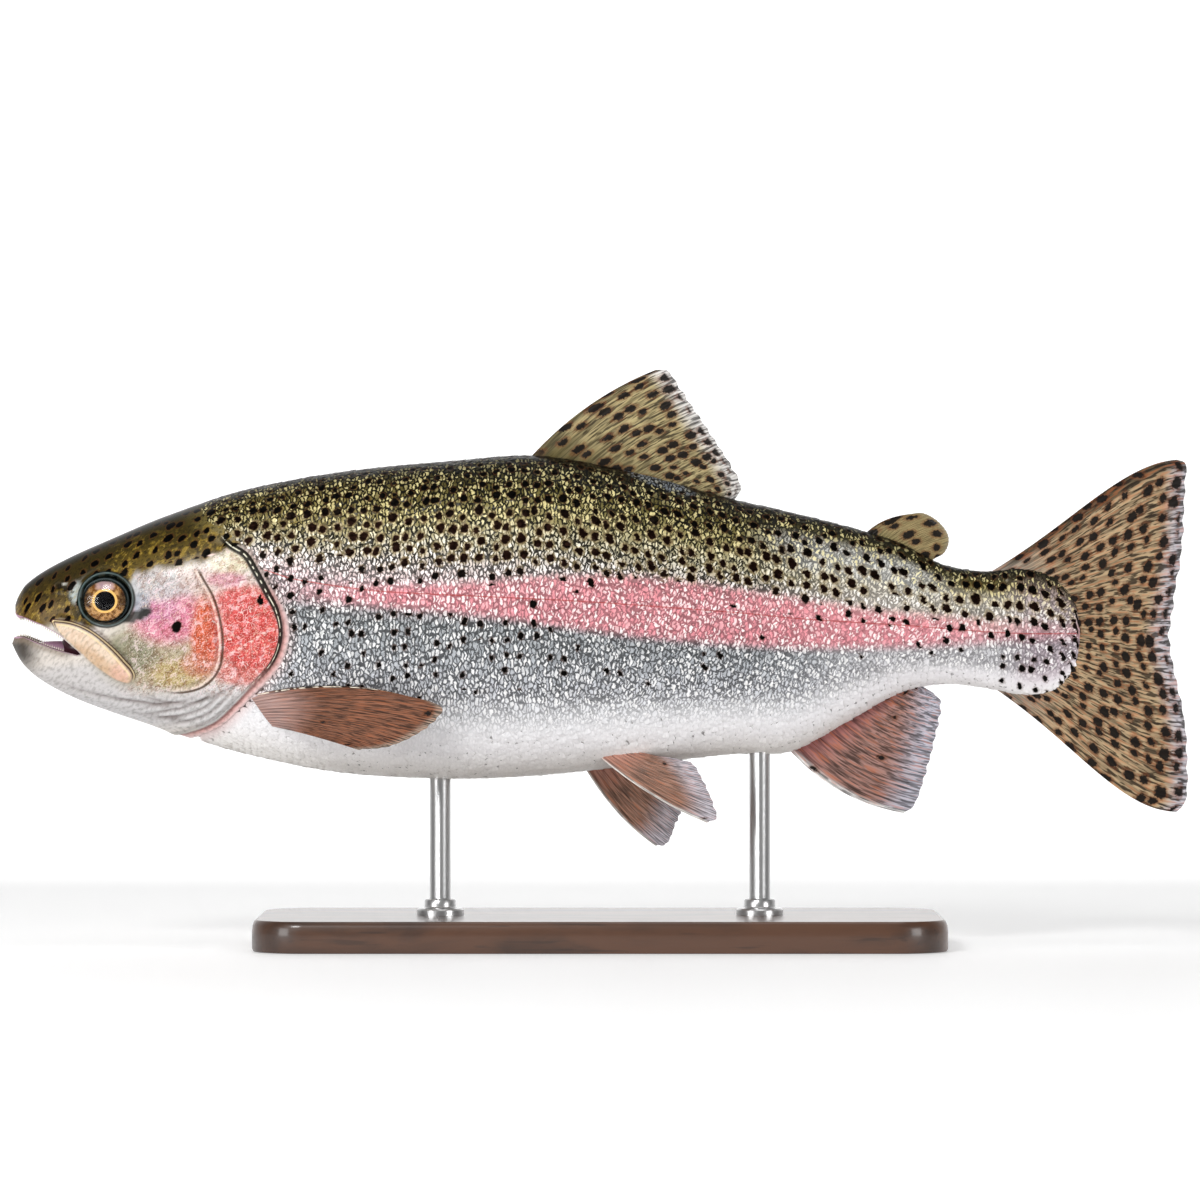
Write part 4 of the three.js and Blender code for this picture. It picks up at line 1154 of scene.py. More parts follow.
def base_arrays():
    """The wooden base: a rounded rectangle swept through a profile. At a profile point near the rim
    the outline is cut in evenly, by (1 - share) of its corner radius, and nearer the middle it
    shrinks to its share."""
    quarter = np.linspace(0, math.pi / 2, CORNER_POINTS)
    turn = (quarter + np.arange(4)[:, None] * math.pi / 2).ravel()
    normal = stacked(np.cos(turn), np.sin(turn))
    corner = np.repeat([(1, 1), (-1, 1), (-1, -1), (1, -1)], CORNER_POINTS, axis=0)
    outline = corner * (BASE_SIZE / 2 - BASE_CORNER) + normal * BASE_CORNER
    outline, normal = (np.vstack([a, a[:1]])[:, None] for a in (outline, normal))
    share, height = np.array(BASE_PROFILE).T[:, None, :, None]
    flat = np.where(share < 0.9, outline * share, outline - normal * (1 - share) * BASE_CORNER * RIM_DEPTH)
    points = stacked(flat[..., 0], flat[..., 1], height[..., 0] * BASE_HEIGHT).reshape(-1, 3)
    points, faces, _ = welded(points, grid_faces(len(outline), len(BASE_PROFILE)))
    offset = np.array([-SNOUT_WORLD / MM, 0, -AXIS_WORLD / MM])
    return points + offset, facing_out(points, faces)


def rod_arrays(node):
    """A rod with a stepped collar at its foot and a rounded top, where the CAD node stands."""
    low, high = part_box(node)
    centre = np.array([(low[0] + high[0]) / 2 - SNOUT_WORLD, 0, BASE_HEIGHT * MM - AXIS_WORLD]) / MM
    top = (high[2] / MM) - BASE_HEIGHT + ROD_SINKS
    profile = COLLAR + [(ROD_RADIUS, top - 2), (3.4, top - 0.6), (2, top), (0, top)]
    return lathe(profile, centre, (0, 0, 1), 40)[:2]


# ---- shader expressions

class Term:
    """A shader socket in an expression. Sums, differences, products and comparisons of terms and
    numbers add Math nodes, or Vector Math nodes where a term is a vector or a colour."""

    def __init__(self, graph, socket):
        self.graph, self.socket = graph, socket

    def __add__(self, other):
        return self.graph.math("ADD", self, other)

    def __radd__(self, other):
        return self.graph.math("ADD", other, self)

    def __sub__(self, other):
        return self.graph.math("SUBTRACT", self, other)

    def __rsub__(self, other):
        return self.graph.math("SUBTRACT", other, self)

    def __mul__(self, other):
        return self.graph.math("MULTIPLY", self, other)

    def __rmul__(self, other):
        return self.graph.math("MULTIPLY", other, self)

    def __lt__(self, other):
        return self.graph.math("LESS_THAN", self, other)


class Graph:
    """The nodes of one material."""

    def __init__(self, name):
        self.material = bpy.data.materials.new(name)
        self.material.use_nodes = True
        self.tree = self.material.node_tree
        self.tree.nodes.clear()

    def node(self, kind, settings=None, inputs=None):
        """A node of a type, with its settings set first and then its sockets' values or links."""
        made = self.tree.nodes.new("ShaderNode" + kind)
        for key, value in (settings or {}).items():
            setattr(made, key, value)
        for key, value in (inputs or {}).items():
            if isinstance(value, Term):
                self.tree.links.new(value.socket, made.inputs[key])
            else:
                made.inputs[key].default_value = value
        return made

    def term(self, node, output):
        """One output of a node, ready for an expression."""
        return Term(self, node.outputs[output])

    def math(self, operation, *values):
        """One operation on terms and numbers. Beside a vector, a number stands for all three parts."""
        vector = any(isinstance(v, Term) and v.socket.type in ("VECTOR", "RGBA") for v in values)
        kind = "VectorMath" if vector else "Math"
        if vector:
            values = [v if isinstance(v, Term) or hasattr(v, "__len__") else (v, v, v) for v in values]
        return self.term(self.node(kind, {"operation": operation}, dict(enumerate(values))), 0)

    def size(self, value):
        """A number without its sign."""
        return self.math("ABSOLUTE", value)

    def wave(self, angle, operation="COSINE"):
        """A cosine or sine of an angle, moved to run from 0 to 1."""
        return self.math(operation, angle) * 0.5 + 0.5

    def attribute(self, name, output="Vector"):
        """A value that the mesh stores at its points."""
        return self.term(self.node("Attribute", {"attribute_name": name}), output)

    def parts(self, vector):
        """The three components of a vector."""
        made = self.node("SeparateXYZ", inputs={"Vector": vector})
        return [self.term(made, axis) for axis in "XYZ"]

    def smooth(self, low, high, value):
        """0 below low, 1 above high, with a smooth rise between. With low above high it falls."""
        made = self.node("MapRange", {"interpolation_type": "SMOOTHSTEP"},
                         {"Value": value, "From Min": low, "From Max": high})
        return self.term(made, "Result")

    def band(self, start, full, fading, end, value):
        """0 outside start and end, 1 from full to fading."""
        return self.smooth(start, full, value) * self.smooth(end, fading, value)

    def noise(self, vector, scale, detail=2, output="Fac"):
        """Noise as one number, or as three with the output Color."""
        made = self.node("TexNoise", inputs={"Vector": vector, "Scale": scale, "Detail": detail})
        return self.term(made, output)

    def wander(self, vector, scale, reach):
        """A small shift that changes from place to place, to make a pattern uneven."""
        return (self.noise(vector, scale, 2, "Color") - 0.5) * reach

    def cells(self, vector, scale, feature="F1", randomness=1):
        """A flat pattern of cells, one round each of its scattered points."""
        return self.node("TexVoronoi", {"feature": feature, "voronoi_dimensions": "2D"},
                         {"Vector": vector, "Scale": scale, "Randomness": randomness})

    def mix(self, amount, first, second, blend="MIX"):
        """A colour moved from the first to the second by an amount."""
        first, second = ((*c, 1) if hasattr(c, "__len__") and len(c) == 3 else c for c in (first, second))
        made = self.node("Mix", {"data_type": "RGBA", "blend_type": blend, "clamp_factor": True},
                         {0: amount, 6: first, 7: second})
        return self.term(made, 2)

    def layered(self, colour, *layers):
        """Lays named colours over one another, each as its name, its amount and perhaps its blend."""
        for name, amount, *blend in layers:
            colour = self.mix(amount, colour, paint(name), *blend)
        return colour

    def shaded(self, colour, shade):
        """A colour times a shade."""
        return self.mix(1, colour, self.mix(shade, (0, 0, 0), (1, 1, 1)), "MULTIPLY")

    def finish(self, inputs, height, strength, distance=0.0003):
        """Joins up the main shader, with a bump from a height. The distance is in metres."""
        bump = self.node("Bump", inputs={"Height": height, "Strength": strength, "Distance": distance})
        inputs = inputs | {"Normal": self.term(bump, "Normal")}
        shader = self.node("BsdfPrincipled", inputs=inputs)
        self.node("OutputMaterial", inputs={"Surface": self.term(shader, "BSDF")})
        return self.material


# ---- materials

FLAKE_PITCH = 0.64    # flakes of a scale's light for each millimetre
FLAKE_STRETCH = (1.15, 0.56, 1)
MATT = 0.12           # specular level that keeps the dark markings black


def spotted(graph, colour, look, ringed):
    """Dark spots on the body's colour, each with a brown rim and, where ringed says so, a pale ring.
    One cell of a scattered pattern holds one spot at most: the cell's chance says whether, and the
    spot is where the distance from the cell's point is less than the radius."""
    place = graph.attribute("place")
    density, size, _ = graph.parts(graph.attribute("marks"))
    spacing = look["spot_spacing"]
    uneven = place + graph.wander(place, 0.3, 2.2) + graph.wander(place, 1.3, 1)
    cells = graph.cells(uneven * (1, 0.88, 1), 1 / spacing, randomness=0.52)
    chance, girth_share, _ = graph.parts(graph.term(cells, "Color"))
    radius = size * (girth_share * 0.36 + 0.76) * look["spot_radius"]
    outside = graph.term(cells, "Distance") * spacing - radius
    present = chance < density
    spot = graph.smooth(0.22, -0.22, outside) * present
    colour = graph.layered(
        colour,
        ("spot ring", graph.smooth(1.3, 0.4, outside) * present * ringed * 0.3),
        ("spot rim", graph.smooth(0.7, 0, outside) * present * 0.42))
    ink = graph.layered(look["spot"], ("spot brown", ringed * 0.06))
    return graph.mix(spot, colour, ink), spot


def scale_material(look):
    """Scales: the body's colour with painted shade towards each scale's root, where the scale ahead of it
    lies over it, and a little different on each scale, broken by a dark network into small flakes. The
    network is partly the scales' own dark pigment and partly painted shade, wider on each flake's rear side,
    and some flakes get a painted silver or gold glint: silver low on the side, gold higher up. The side line
    is a thin red seam, and the body's spots lie over all of it."""
    graph = Graph("scales")
    smooth, band = graph.smooth, graph.band
    edge, grain, height = graph.parts(graph.attribute("leaf"))
    place = graph.attribute("place")
    tint = graph.attribute("tint", "Color")
    upper = smooth(0.04, 0.32, height)
    marked = smooth(-0.8, -0.5, height)
    rise = smooth(0.4, 0.85, edge)
    red, green, _ = graph.parts(tint)
    pink = smooth(0.15, 0.4, red - green)
    uneven = place * FLAKE_STRETCH + graph.wander(place, 0.5, 2.2)
    flake = graph.cells(uneven, FLAKE_PITCH)
    chance, shine, _ = graph.parts(graph.term(flake, "Color"))
    rear = graph.parts(uneven - graph.term(flake, "Position"))[0]
    net = graph.term(graph.cells(uneven, FLAKE_PITCH, "DISTANCE_TO_EDGE"), "Distance")
    # The dark network between flakes: partly the scales' own dark pigment, partly painted shade that widens
    # on each flake's rear side.
    gap = upper * 0.02 + 0.08 + (chance - 0.5) * 0.14 + smooth(0, 0.8, rear) * 0.1
    dark = smooth(0.11, 0, net - gap)
    # Painted shade over each scale's root, under the scale ahead of it, and a random tone for each scale.
    shade = (1 - marked * (1 - rise) * 0.22) * (1 - marked * 0.16 + grain * marked * 0.28)
    tail = smooth(270, 330, graph.parts(place)[0])
    depth = (marked * 0.74 + 0.05 + upper * 0.17 - pink * 0.24) * (1 - tail * 0.36)
    colour = graph.shaded(tint, shade * (1 - dark * depth))
    # Painted glints on the flakes that catch the light: silver low on the side, gold higher up.
    glow = graph.mix(smooth(0.25, 0.65, height), paint("silver glint"), paint("gold"))
    light = smooth(0.1, 0.24, net - gap * 0.5) * smooth(0.25, 0.65, shine)
    light = light * smooth(1, 0.88, height)
    colour = graph.mix(light * (marked * 0.72 + 0.1 + pink * 0.1) * (0.65 + rise * 0.35), colour, glow)
    seam = smooth(0.36, 0.14, graph.size(graph.attribute("line", "Fac")))
    colour = graph.layered(colour, ("side line", seam * 0.7))
    ringed = band(0.12, 0.3, 0.5, 0.72, height)
    colour, spot = spotted(graph, colour, look, ringed)
    return graph.finish({
        "Base Color": colour, "Metallic": 0.12 + spot * 0.8, "Roughness": 0.36 + spot * 0.1,
        "Coat Weight": (1 - spot) * (0.2 - upper * 0.13), "Coat Roughness": 0.16,
        "Specular IOR Level": MATT,
    }, net, 0.3)


def skin_material(look):
    """Skin: the body's colour and spots everywhere, and on the head its lines, each drawn where the stored
    distance from it is small, with marbling and light veins on the cheek, gold on the crown, the eye's dark
    lid and the mouth's lining. Painted shade darkens the gill slit, the groove before the cheek's ridge, the
    groove round the upper-jaw plate and the head's folds and nostrils. Painted highlights lie on the cheek's
    ridge, along the suture and temple ridge, beside the plate's groove and on the eye socket's rim, and a
    broken painted glint runs inside the gill cover's dark rim."""
    graph = Graph("skin")
    smooth, band = graph.smooth, graph.band
    place = graph.attribute("place")
    tint = graph.attribute("tint", "Color")
    gill, cheek, suture = graph.parts(graph.attribute("lines"))
    crown, plate, eye = graph.parts(graph.attribute("rims"))
    veins = graph.parts(graph.attribute("marks"))[2]
    opening, cheek_shows, suture_shows = graph.parts(graph.attribute("shows"))
    crease_shade, lining, plate_edge = graph.parts(graph.attribute("folds"))
    mottle = graph.noise(place, 0.6, 4)
    fine = graph.noise(place, 1.7, 3)
    capped = smooth(-2, 2, crown)
    gold = smooth(0.48, 0.62, graph.noise(place + 5, 0.5, 3)) * smooth(17, 6, crown)
    uneven = place + graph.wander(place, 0.45, 3.4)
    marble = graph.noise(uneven + 57, 0.4, 3)
    patches = smooth(0.42, 0.56, graph.noise(place + 12, 0.2, 2))
    squiggle = graph.size(graph.noise(uneven, 0.2, 1) - 0.5)
    thread = graph.size(graph.noise(uneven * (1, 0.8, 1) + 31, 0.7, 1) - 0.5)
    vein = smooth(0.012, 0.004, squiggle) * veins * patches
    hair = smooth(0.03, 0.01, thread) * veins * (1 - patches)
    colour = graph.layered(
        tint,
        ("mottle", smooth(0.42, 0.7, mottle) * 0.35, "MULTIPLY"),
        ("crown gold", gold * capped * 0.6),
        ("crown fleck", smooth(0.54, 0.66, fine) * gold * capped * 0.5),
        ("crown shade", smooth(0.5, 0.38, mottle) * capped * 0.7),
        ("marble shade", smooth(0.5, 0.38, marble) * veins * 0.5, "MULTIPLY"),
        ("marble light", smooth(0.54, 0.66, marble) * veins * 0.42),
        ("cheek grain", smooth(0.54, 0.66, fine) * veins * 0.42),
        ("cheek pore", smooth(0.45, 0.34, fine) * veins * 0.7, "MULTIPLY"),
        ("hair vein", hair * 0.4),
        ("vein", vein * 0.6))
    colour, spot = spotted(graph, colour, look, 0)
    broken = smooth(0.46, 0.56, graph.noise(place, 0.4, 2))
    rim = band(-2.9, -1.9, 0.2, 0.7, gill) * opening
    ridge = band(0.2, 0.6, 0.9, 1.5, cheek) * cheek_shows
    on_plate = smooth(-0.2, 0.6, plate)
    # Painted highlights on both sides of the groove round the upper-jaw plate.
    light = band(-0.75, -0.5, -0.35, -0.1, plate) + band(0.5, 0.8, 1.1, 1.5, plate)
    colour = graph.layered(
        colour,
        ("gill rim", rim * 0.97),
        ("gill glint", band(-1.35, -1.1, -0.9, -0.65, gill) * broken * opening * 0.8),
        # painted shade in the sunken gill slit
        ("gill slit shade", band(2.6, 3.4, 3.8, 5, gill) * opening * 0.5),
        # painted shade in the groove before the cheek's ridge, and a broken painted highlight on the ridge
        ("cheek groove shade", band(-0.9, -0.45, 0, 0.35, cheek) * cheek_shows * 0.85),
        ("cheek ridge highlight", ridge * (broken * 0.55 + 0.2)),
        # painted highlight along the raised opercle suture and temple ridge
        ("suture", smooth(0.55, 0.2, suture) * suture_shows * 0.7),
        ("plate grain", smooth(0.45, 0.65, marble) * on_plate * 0.3),
        # painted shade in the groove round the upper-jaw plate, and painted highlights beside it
        ("plate border shade", band(-1.3, -0.8, 0, 0.5, plate) * plate_edge * 0.92),
        ("plate highlight", light * plate_edge * 0.6),
        # painted shade in the head's folds, grooves, gill slit and nostrils
        ("fold", crease_shade * 0.66, "MULTIPLY"),
        ("eyelid", smooth(1.2, 1.13, eye) * 0.94),
        # a thin painted highlight on the eye socket's raised rim
        ("lid highlight", band(1.02, 1.06, 1.08, 1.12, eye) * 0.35),
        ("mouth", lining))
    return graph.finish({
        "Base Color": colour, "Roughness": 0.32 + fine * 0.12, "Metallic": spot * 0.9,
        "Coat Weight": (1 - spot) * (1 - rim) * (0.22 - capped * 0.14), "Coat Roughness": 0.12,
        "Specular IOR Level": MATT,
    }, fine * 0.25 + vein * 0.9 + hair * 0.4, 0.55)


def fin_material(name, fin, look):
    """A fin: its colour with lighter rays, each a wave across the fin that forks towards the margin,
    streaks and dashes drawn out along the rays, a dotted leading edge, and spots between the rays.
    The margin is thinner to the light between the rays."""
    graph = Graph(name)
    smooth = graph.smooth
    web = graph.attribute("web")
    u, v, shore = graph.parts(web)
    tint = graph.attribute("tint", "Color")
    place = graph.attribute("place")
    rays, length, margin = fin["rays"], fin["reach"], fin["margin"] * 0.2
    turn = v * (2 * math.pi * rays)
    single, forked, split = graph.wave(turn), graph.wave(turn * 2), graph.wave(turn * 4)
    ray = single + (forked - single) * smooth(0.25, 0.5, u)
    ray = ray + (split - ray) * smooth(0.55, 0.85, u)
    streak = graph.noise(web * (4, rays * 5, 0), 1, 3)
    colour = graph.shaded(tint, 0.3 + ray * 0.3 + smooth(0.36, 0.64, streak) * 0.62)
    share, radius, spacing = fin["spots"]
    warp = graph.wander(place, 0.35, 1.5) + graph.wander(place, 1.2, 1.4)
    cells = graph.cells(web * (length * 0.82, fin["spread"], 0) + warp, 1 / spacing, randomness=0.6)
    chance, width, _ = graph.parts(graph.term(cells, "Color"))
    outside = graph.term(cells, "Distance") * spacing - radius * (width * 0.5 + 0.75)
    dash = graph.noise(web * (length * 0.16, rays * 5.2, 0), 1, 2)
    dotted = graph.noise(web * (length * 0.3, 0, 0), 1, 1)
    lead = smooth(0.036, 0.026, v) * smooth(0.008, 0.014, v) * smooth(0.46, 0.54, dotted)
    present = (chance < share) * smooth(0.03, 0.14, u) * smooth(margin, margin + 1.2, shore)
    colour = graph.layered(
        colour,
        ("fin dash", smooth(0.5, 0.58, dash) * smooth(0.08, 0.4, u) * fin["dashes"]),
        ("fin flame", smooth(0.46, 0.36, dash) * fin.get("flame", 0)),
        ("fin glint", lead * fin.get("glints", 0)),
        ("fin spot rim", smooth(1.1, 0.1, outside) * present * 0.5))
    colour = graph.mix(smooth(0.3, -0.3, outside) * present * 0.97, colour, look["spot"])
    joint = graph.wave(u * 190, "SINE")
    return graph.finish({
        "Base Color": colour, "Roughness": 0.42 + streak * 0.12, "Coat Weight": 0.05, "Coat Roughness": 0.18,
        "Specular IOR Level": MATT, "Alpha": 1 - smooth(4, 0, shore) * (1 - ray) * 0.35,
    }, ray + joint * ray * 0.15, 0.35)


PUPIL_EDGE, RING_EDGE, IRIS_EDGE = 4.1, 5.1, 7.7    # radii on the eye
BLACK = (0.001, 0.001, 0.002)


def eye_material():
    """The eye by distance from its axis: black pupil, gold ring, brown and gold iris with dark sides and a
    lilac top that also holds a painted soft reflection, then a dark green rim with a thin painted highlight
    line."""
    graph = Graph("eye")
    smooth, band = graph.smooth, graph.band
    across = graph.attribute("iris")
    radius = graph.attribute("radius", "Fac")
    forward, up, _ = graph.parts(across)
    radial = graph.noise(across * (0.5, 0.5, 0), 1.1, 4)
    fibre = graph.noise(across * (1.4, 1.4, 0), 1.6, 4)
    colour = graph.mix(smooth(0.42, 0.6, radial), paint("iris brown"), paint("iris gold"))
    sides = smooth(4.7, 6.2, graph.size(forward)) * smooth(4.2, 2, graph.size(up - 0.6))
    top = smooth(4, 5.6, up) * smooth(4.4, 2.6, graph.size(forward))
    ring = band(PUPIL_EDGE - 0.4, PUPIL_EDGE - 0.1, RING_EDGE - 0.35, RING_EDGE, radius)
    colour = graph.layered(
        colour,
        ("iris fibre", smooth(0.5, 0.7, fibre) * 0.5),
        ("iris side", sides * 0.8),
        # the iris's lilac top, which also holds a painted soft reflection
        ("iris lilac and reflection", top * 0.7),
        ("pupil ring", ring * 0.97))
    colour = graph.mix(smooth(PUPIL_EDGE, PUPIL_EDGE - 0.2, radius), colour, BLACK)
    colour = graph.layered(
        colour,
        ("eye rim", smooth(IRIS_EDGE, IRIS_EDGE + 0.6, radius)),
        # a thin painted highlight line on the dark rim
        ("eye rim highlight", band(8.7, 9, 9.2, 9.5, radius) * 0.22))
    return graph.finish({"Base Color": colour, "Roughness": 0.5, "Specular IOR Level": 0.03}, fibre, 0.2)


def cornea_material():
    """Clear and glossy: what is behind shows, under a reflection that grows towards the rim."""
    graph = Graph("cornea")
    clear = graph.term(graph.node("BsdfTransparent"), "BSDF")
    gloss = graph.term(graph.node("BsdfAnisotropic", inputs={"Roughness": 0.1}), "BSDF")
    amount = graph.term(graph.node("Fresnel", inputs={"IOR": 1.25}), 0)
    shader = graph.node("MixShader", inputs={0: amount, 1: clear, 2: gloss})
    graph.node("OutputMaterial", inputs={"Surface": graph.term(shader, 0)})
    return graph.material


def plain_material(name, colour, roughness, metallic=0, coat=0, grain=0, glow=0):
    """One colour with fine unevenness."""
    graph = Graph(name)
    here = graph.term(graph.node("TexCoord"), "Object")
    speckle = graph.noise(here, 900, 3)
    shaded = graph.mix(speckle * grain, tuple(colour), tuple(np.asarray(colour) * 0.6))
    return graph.finish({"Base Color": shaded, "Roughness": roughness, "Metallic": metallic,
                         "Coat Weight": coat, "Coat Roughness": 0.15, "Emission Color": (1, 1, 1, 1),
                         "Emission Strength": glow}, speckle, 0.15)


def wood_material(colour):
    """Polished dark wood with its grain along the base."""
    graph = Graph("walnut")
    here = graph.term(graph.node("TexCoord"), "Object")
    grown = here * (2.2, 26, 26) + (graph.noise(here, 9, 3, "Color") - 0.5) * (0.6, 1.6, 1)
    bands = graph.noise(grown, 2.6, 5)
    pores = graph.noise(here * (40, 900, 500), 1, 2)
    shaded = graph.mix(graph.smooth(0.38, 0.64, bands), tuple(np.asarray(colour) * 0.42), tuple(colour))
    shaded = graph.mix(graph.smooth(0.6, 0.72, pores) * 0.5, shaded, tuple(np.asarray(colour) * 0.2))
    return graph.finish({"Base Color": shaded, "Roughness": 0.32 + pores * 0.12, "Coat Weight": 0.45,
                         "Coat Roughness": 0.12}, pores, 0.12)


# ---- add-on

class TroutSettings(bpy.types.PropertyGroup):
    """Sizes and colours of the fish."""
    scale_length: FloatProperty(
        name="Scale length", description="Length of one scale at mid body", default=0.0044,
        min=0.002, max=0.01, unit="LENGTH")
    scale_height: FloatProperty(
        name="Scale row height", description="Height of one row of scales at mid body", default=0.00245,
        min=0.0015, max=0.006, unit="LENGTH")
    spot_spacing: FloatProperty(
        name="Spot spacing", description="Distance between the dark spots", default=0.0054,
        min=0.003, max=0.02, unit="LENGTH")
    spot_radius: FloatProperty(
        name="Spot radius", description="Radius of the widest dark spots", default=0.00148,
        min=0.0003, max=0.004, unit="LENGTH")
    tooth_height: FloatProperty(
        name="Tooth height", description="Height of the teeth along both jaws", default=0.0011,
        min=0.0003, max=0.003, unit="LENGTH")
    spot_colour: FloatVectorProperty(
        name="Spots", description="Colour of the dark spots", default=(0.003, 0.0025, 0.002),
        min=0, max=1, subtype="COLOR")
    band_colour: FloatVectorProperty(
        name="Side band", description="Colour of the pink band along the side",
        default=(0.98, 0.33, 0.38), min=0, max=1, subtype="COLOR")
    tongue_colour: FloatVectorProperty(
        name="Tongue", description="Colour of the tongue", default=(0.48, 0.3, 0.4),
        min=0, max=1, subtype="COLOR")
    lining_colour: FloatVectorProperty(
        name="Throat", description="Colour deep in the mouth", default=(0.06, 0.012, 0.018),
        min=0, max=1, subtype="COLOR")
    seed: IntProperty(name="Seed", description="Start of the random order", default=7, min=0)


class StandSettings(bpy.types.PropertyGroup):
    """Colours of the display stand."""
    wood_colour: FloatVectorProperty(
        name="Wood", description="Colour of the base's wood", default=(0.09, 0.036, 0.016),
        min=0, max=1, subtype="COLOR")
    steel_colour: FloatVectorProperty(
        name="Steel", description="Colour of the rods", default=(0.6, 0.6, 0.6),
        min=0, max=1, subtype="COLOR")


class StageSettings(bpy.types.PropertyGroup):
    """Floor, light and camera."""
    floor_colour: FloatVectorProperty(
        name="Floor", description="Colour of the floor and backdrop", default=(0.8, 0.8, 0.8),
        min=0, max=1, subtype="COLOR")
    floor_glow: FloatProperty(
        name="Floor glow", description="Light that the floor and backdrop give off", default=0.28, min=0,
        subtype="FACTOR")
    light_power: FloatProperty(
        name="Main light", description="Power of the main lamp", default=13, min=0, unit="POWER")
    camera_distance: FloatProperty(
        name="Camera distance", description="Distance from the camera to the fish", default=2.4,
        min=0.5, unit="LENGTH")


def looks(settings):
    """The settings in the units that the shape and colour functions use."""
    return {
        "band": np.array(settings.band_colour), "spot": tuple(settings.spot_colour),
        "spot_spacing": settings.spot_spacing / MM, "spot_radius": settings.spot_radius / MM,
    }


def plate_rim(x, z):
    """How strongly the upper-jaw plate's border carries its painted shade and painted highlights: full along
    its top and rear, faint below.
    """
    return 0.1 + 0.9 * step(-1.5, 2.5, z - through([(17, -1), (31, -8), (49, -22)], x))


def rim_width(z, gill):
    """How wide the gill cover's dark rim is, as a share of its widest, which is near the nape."""
    return np.where(gill < 0, 0.5 + 0.5 * step(-4, 12, z), 1)


def opening_shows(x, z, lining):
    """How strongly the gill opening's lines are drawn: full behind the cheek, fading at the nape, on
    the throat and towards the snout."""
    on_head = (x < HEAD_END) * (1 - lining)
    return step(35, 31, z) * step(52, 66, x) * on_head * (0.35 + 0.65 * step(-26, -12, z))


def vein_area(x, z, fields):
    """Where the cheek is marbled and veined: behind the eye and ahead of the gill opening, below the
    crown, off the upper-jaw plate and off the dark streak."""
    return (step(1, -2, fields["crown"]) * step(0, -1.5, fields["gill"])
            * step(-0.5, -2, fields["plate"]) * step(1.25, 1.5, fields["eye"]) * step(-29, -24, z)
            * step(40, 50, x) * (1 - eye_streak(x, z)))


class TROUT_OT_skin(bpy.types.Operator):
    """Builds the skin: head, jaws, gill covers, trunk and tail stalk in one surface"""
    bl_idname = "trout.skin"
    bl_label = "Skin"

    def execute(self, context):
        look = looks(context.scene.trout)
        points, faces, x, z, arc, lining, crease_shade = skin_arrays()
        fields = fields_of(x, z)
        gill = fields["gill"]
        density, size = spot_marks(x, z, fields)
        make_piece("skin", points, faces, skin_material(look), "scaled_skin", (
            "head", "lower_jaw", "gill_cover_left", "gill_cover_right", "maxilla_left", "maxilla_right",
            "trunk", "tail_stalk"), {
                "place": stacked(x, arc, 0),
                "tint": colour_attribute(skin_tint(x, z, fields, look)),
                "marks": stacked(density * (1 - lining), size, vein_area(x, z, fields)),
                "lines": stacked(gill / rim_width(z, gill), fields["cheek"], fields["suture"]),
                "rims": stacked(fields["crown"], fields["plate"], fields["eye"]),
                "shows": stacked(opening_shows(x, z, lining), fields["cheek_shows"], fields["suture_shows"]),
                # painted shade in creases, the mouth's lining, and how strongly the plate's border carries
                # painted shade and highlights
                "folds": stacked(crease_shade, lining, plate_rim(x, z)),
            })
        return {"FINISHED"}


class TROUT_OT_scales(bpy.types.Operator):
    """Builds the scales, each side in two pieces that meet a little below the side line"""
    bl_idname = "trout.scales"
    bl_label = "Scales"

    def execute(self, context):
        settings = context.scene.trout
        look = looks(settings)
        material = scale_material(look)
        for side, word in ((-1, "left"), (1, "right")):
            roots = scale_roots(side, settings.scale_length / MM, settings.scale_height / MM,
                                settings.seed + side)
            above = roots["here"][:, 2] > through(LATERAL_LINE, roots["here"][:, 0]) - SPLIT_BELOW
            for chosen, part in ((above, "upper"), (~above, "lower")):
                made = scale_arrays(side, roots, chosen)
                x, z = made["points"][:, 0], made["points"][:, 2]
                fields = fields_of(x, z)
                density, size = spot_marks(x, z, fields | {"scaled": np.ones(x.shape)})
                make_piece(
                    f"scales_{word}_{part}", made["points"], made["faces"], material, "scaled_skin", (), {
                        "place": stacked(made["x"], made["arc"], 0),
                        "tint": colour_attribute(skin_tint(x, z, fields, look)),
                        "marks": stacked(density, size, 0),
                        "leaf": stacked(made["edge"], made["grain"], side_height(x, z)),
                        "line": z - through(LATERAL_LINE, x),
                    }, made["uv"], sharp=50)
        return {"FINISHED"}


class TROUT_OT_fins(bpy.types.Operator):
    """Builds the eight fins"""
    bl_idname = "trout.fins"
    bl_label = "Fins"

    def execute(self, context):
        settings = context.scene.trout
        look = looks(settings)
        for i, (name, fin) in enumerate(FINS.items()):
            points, faces, web, reach = fin_arrays(fin, settings.seed + i)
            base, edge = (np.linalg.norm(np.diff(fin[key], axis=0), axis=1).sum() for key in ("base", "edge"))
            fin = fin | {"reach": float(reach.mean()), "spread": float((base + edge) / 2)}
            place = (points * [1, 0, 1] + [0, 0, PATTERN_SHIFT * i])[:, [0, 2, 1]]
            colour = colour_attribute(fin_tint(fin, web))
            make_piece(f"{name}_rayed", points, faces, fin_material(name, fin, look), "fin_membrane", (name,),
                       {"web": web, "place": place, "tint": colour}, sharp=60)
        return {"FINISHED"}


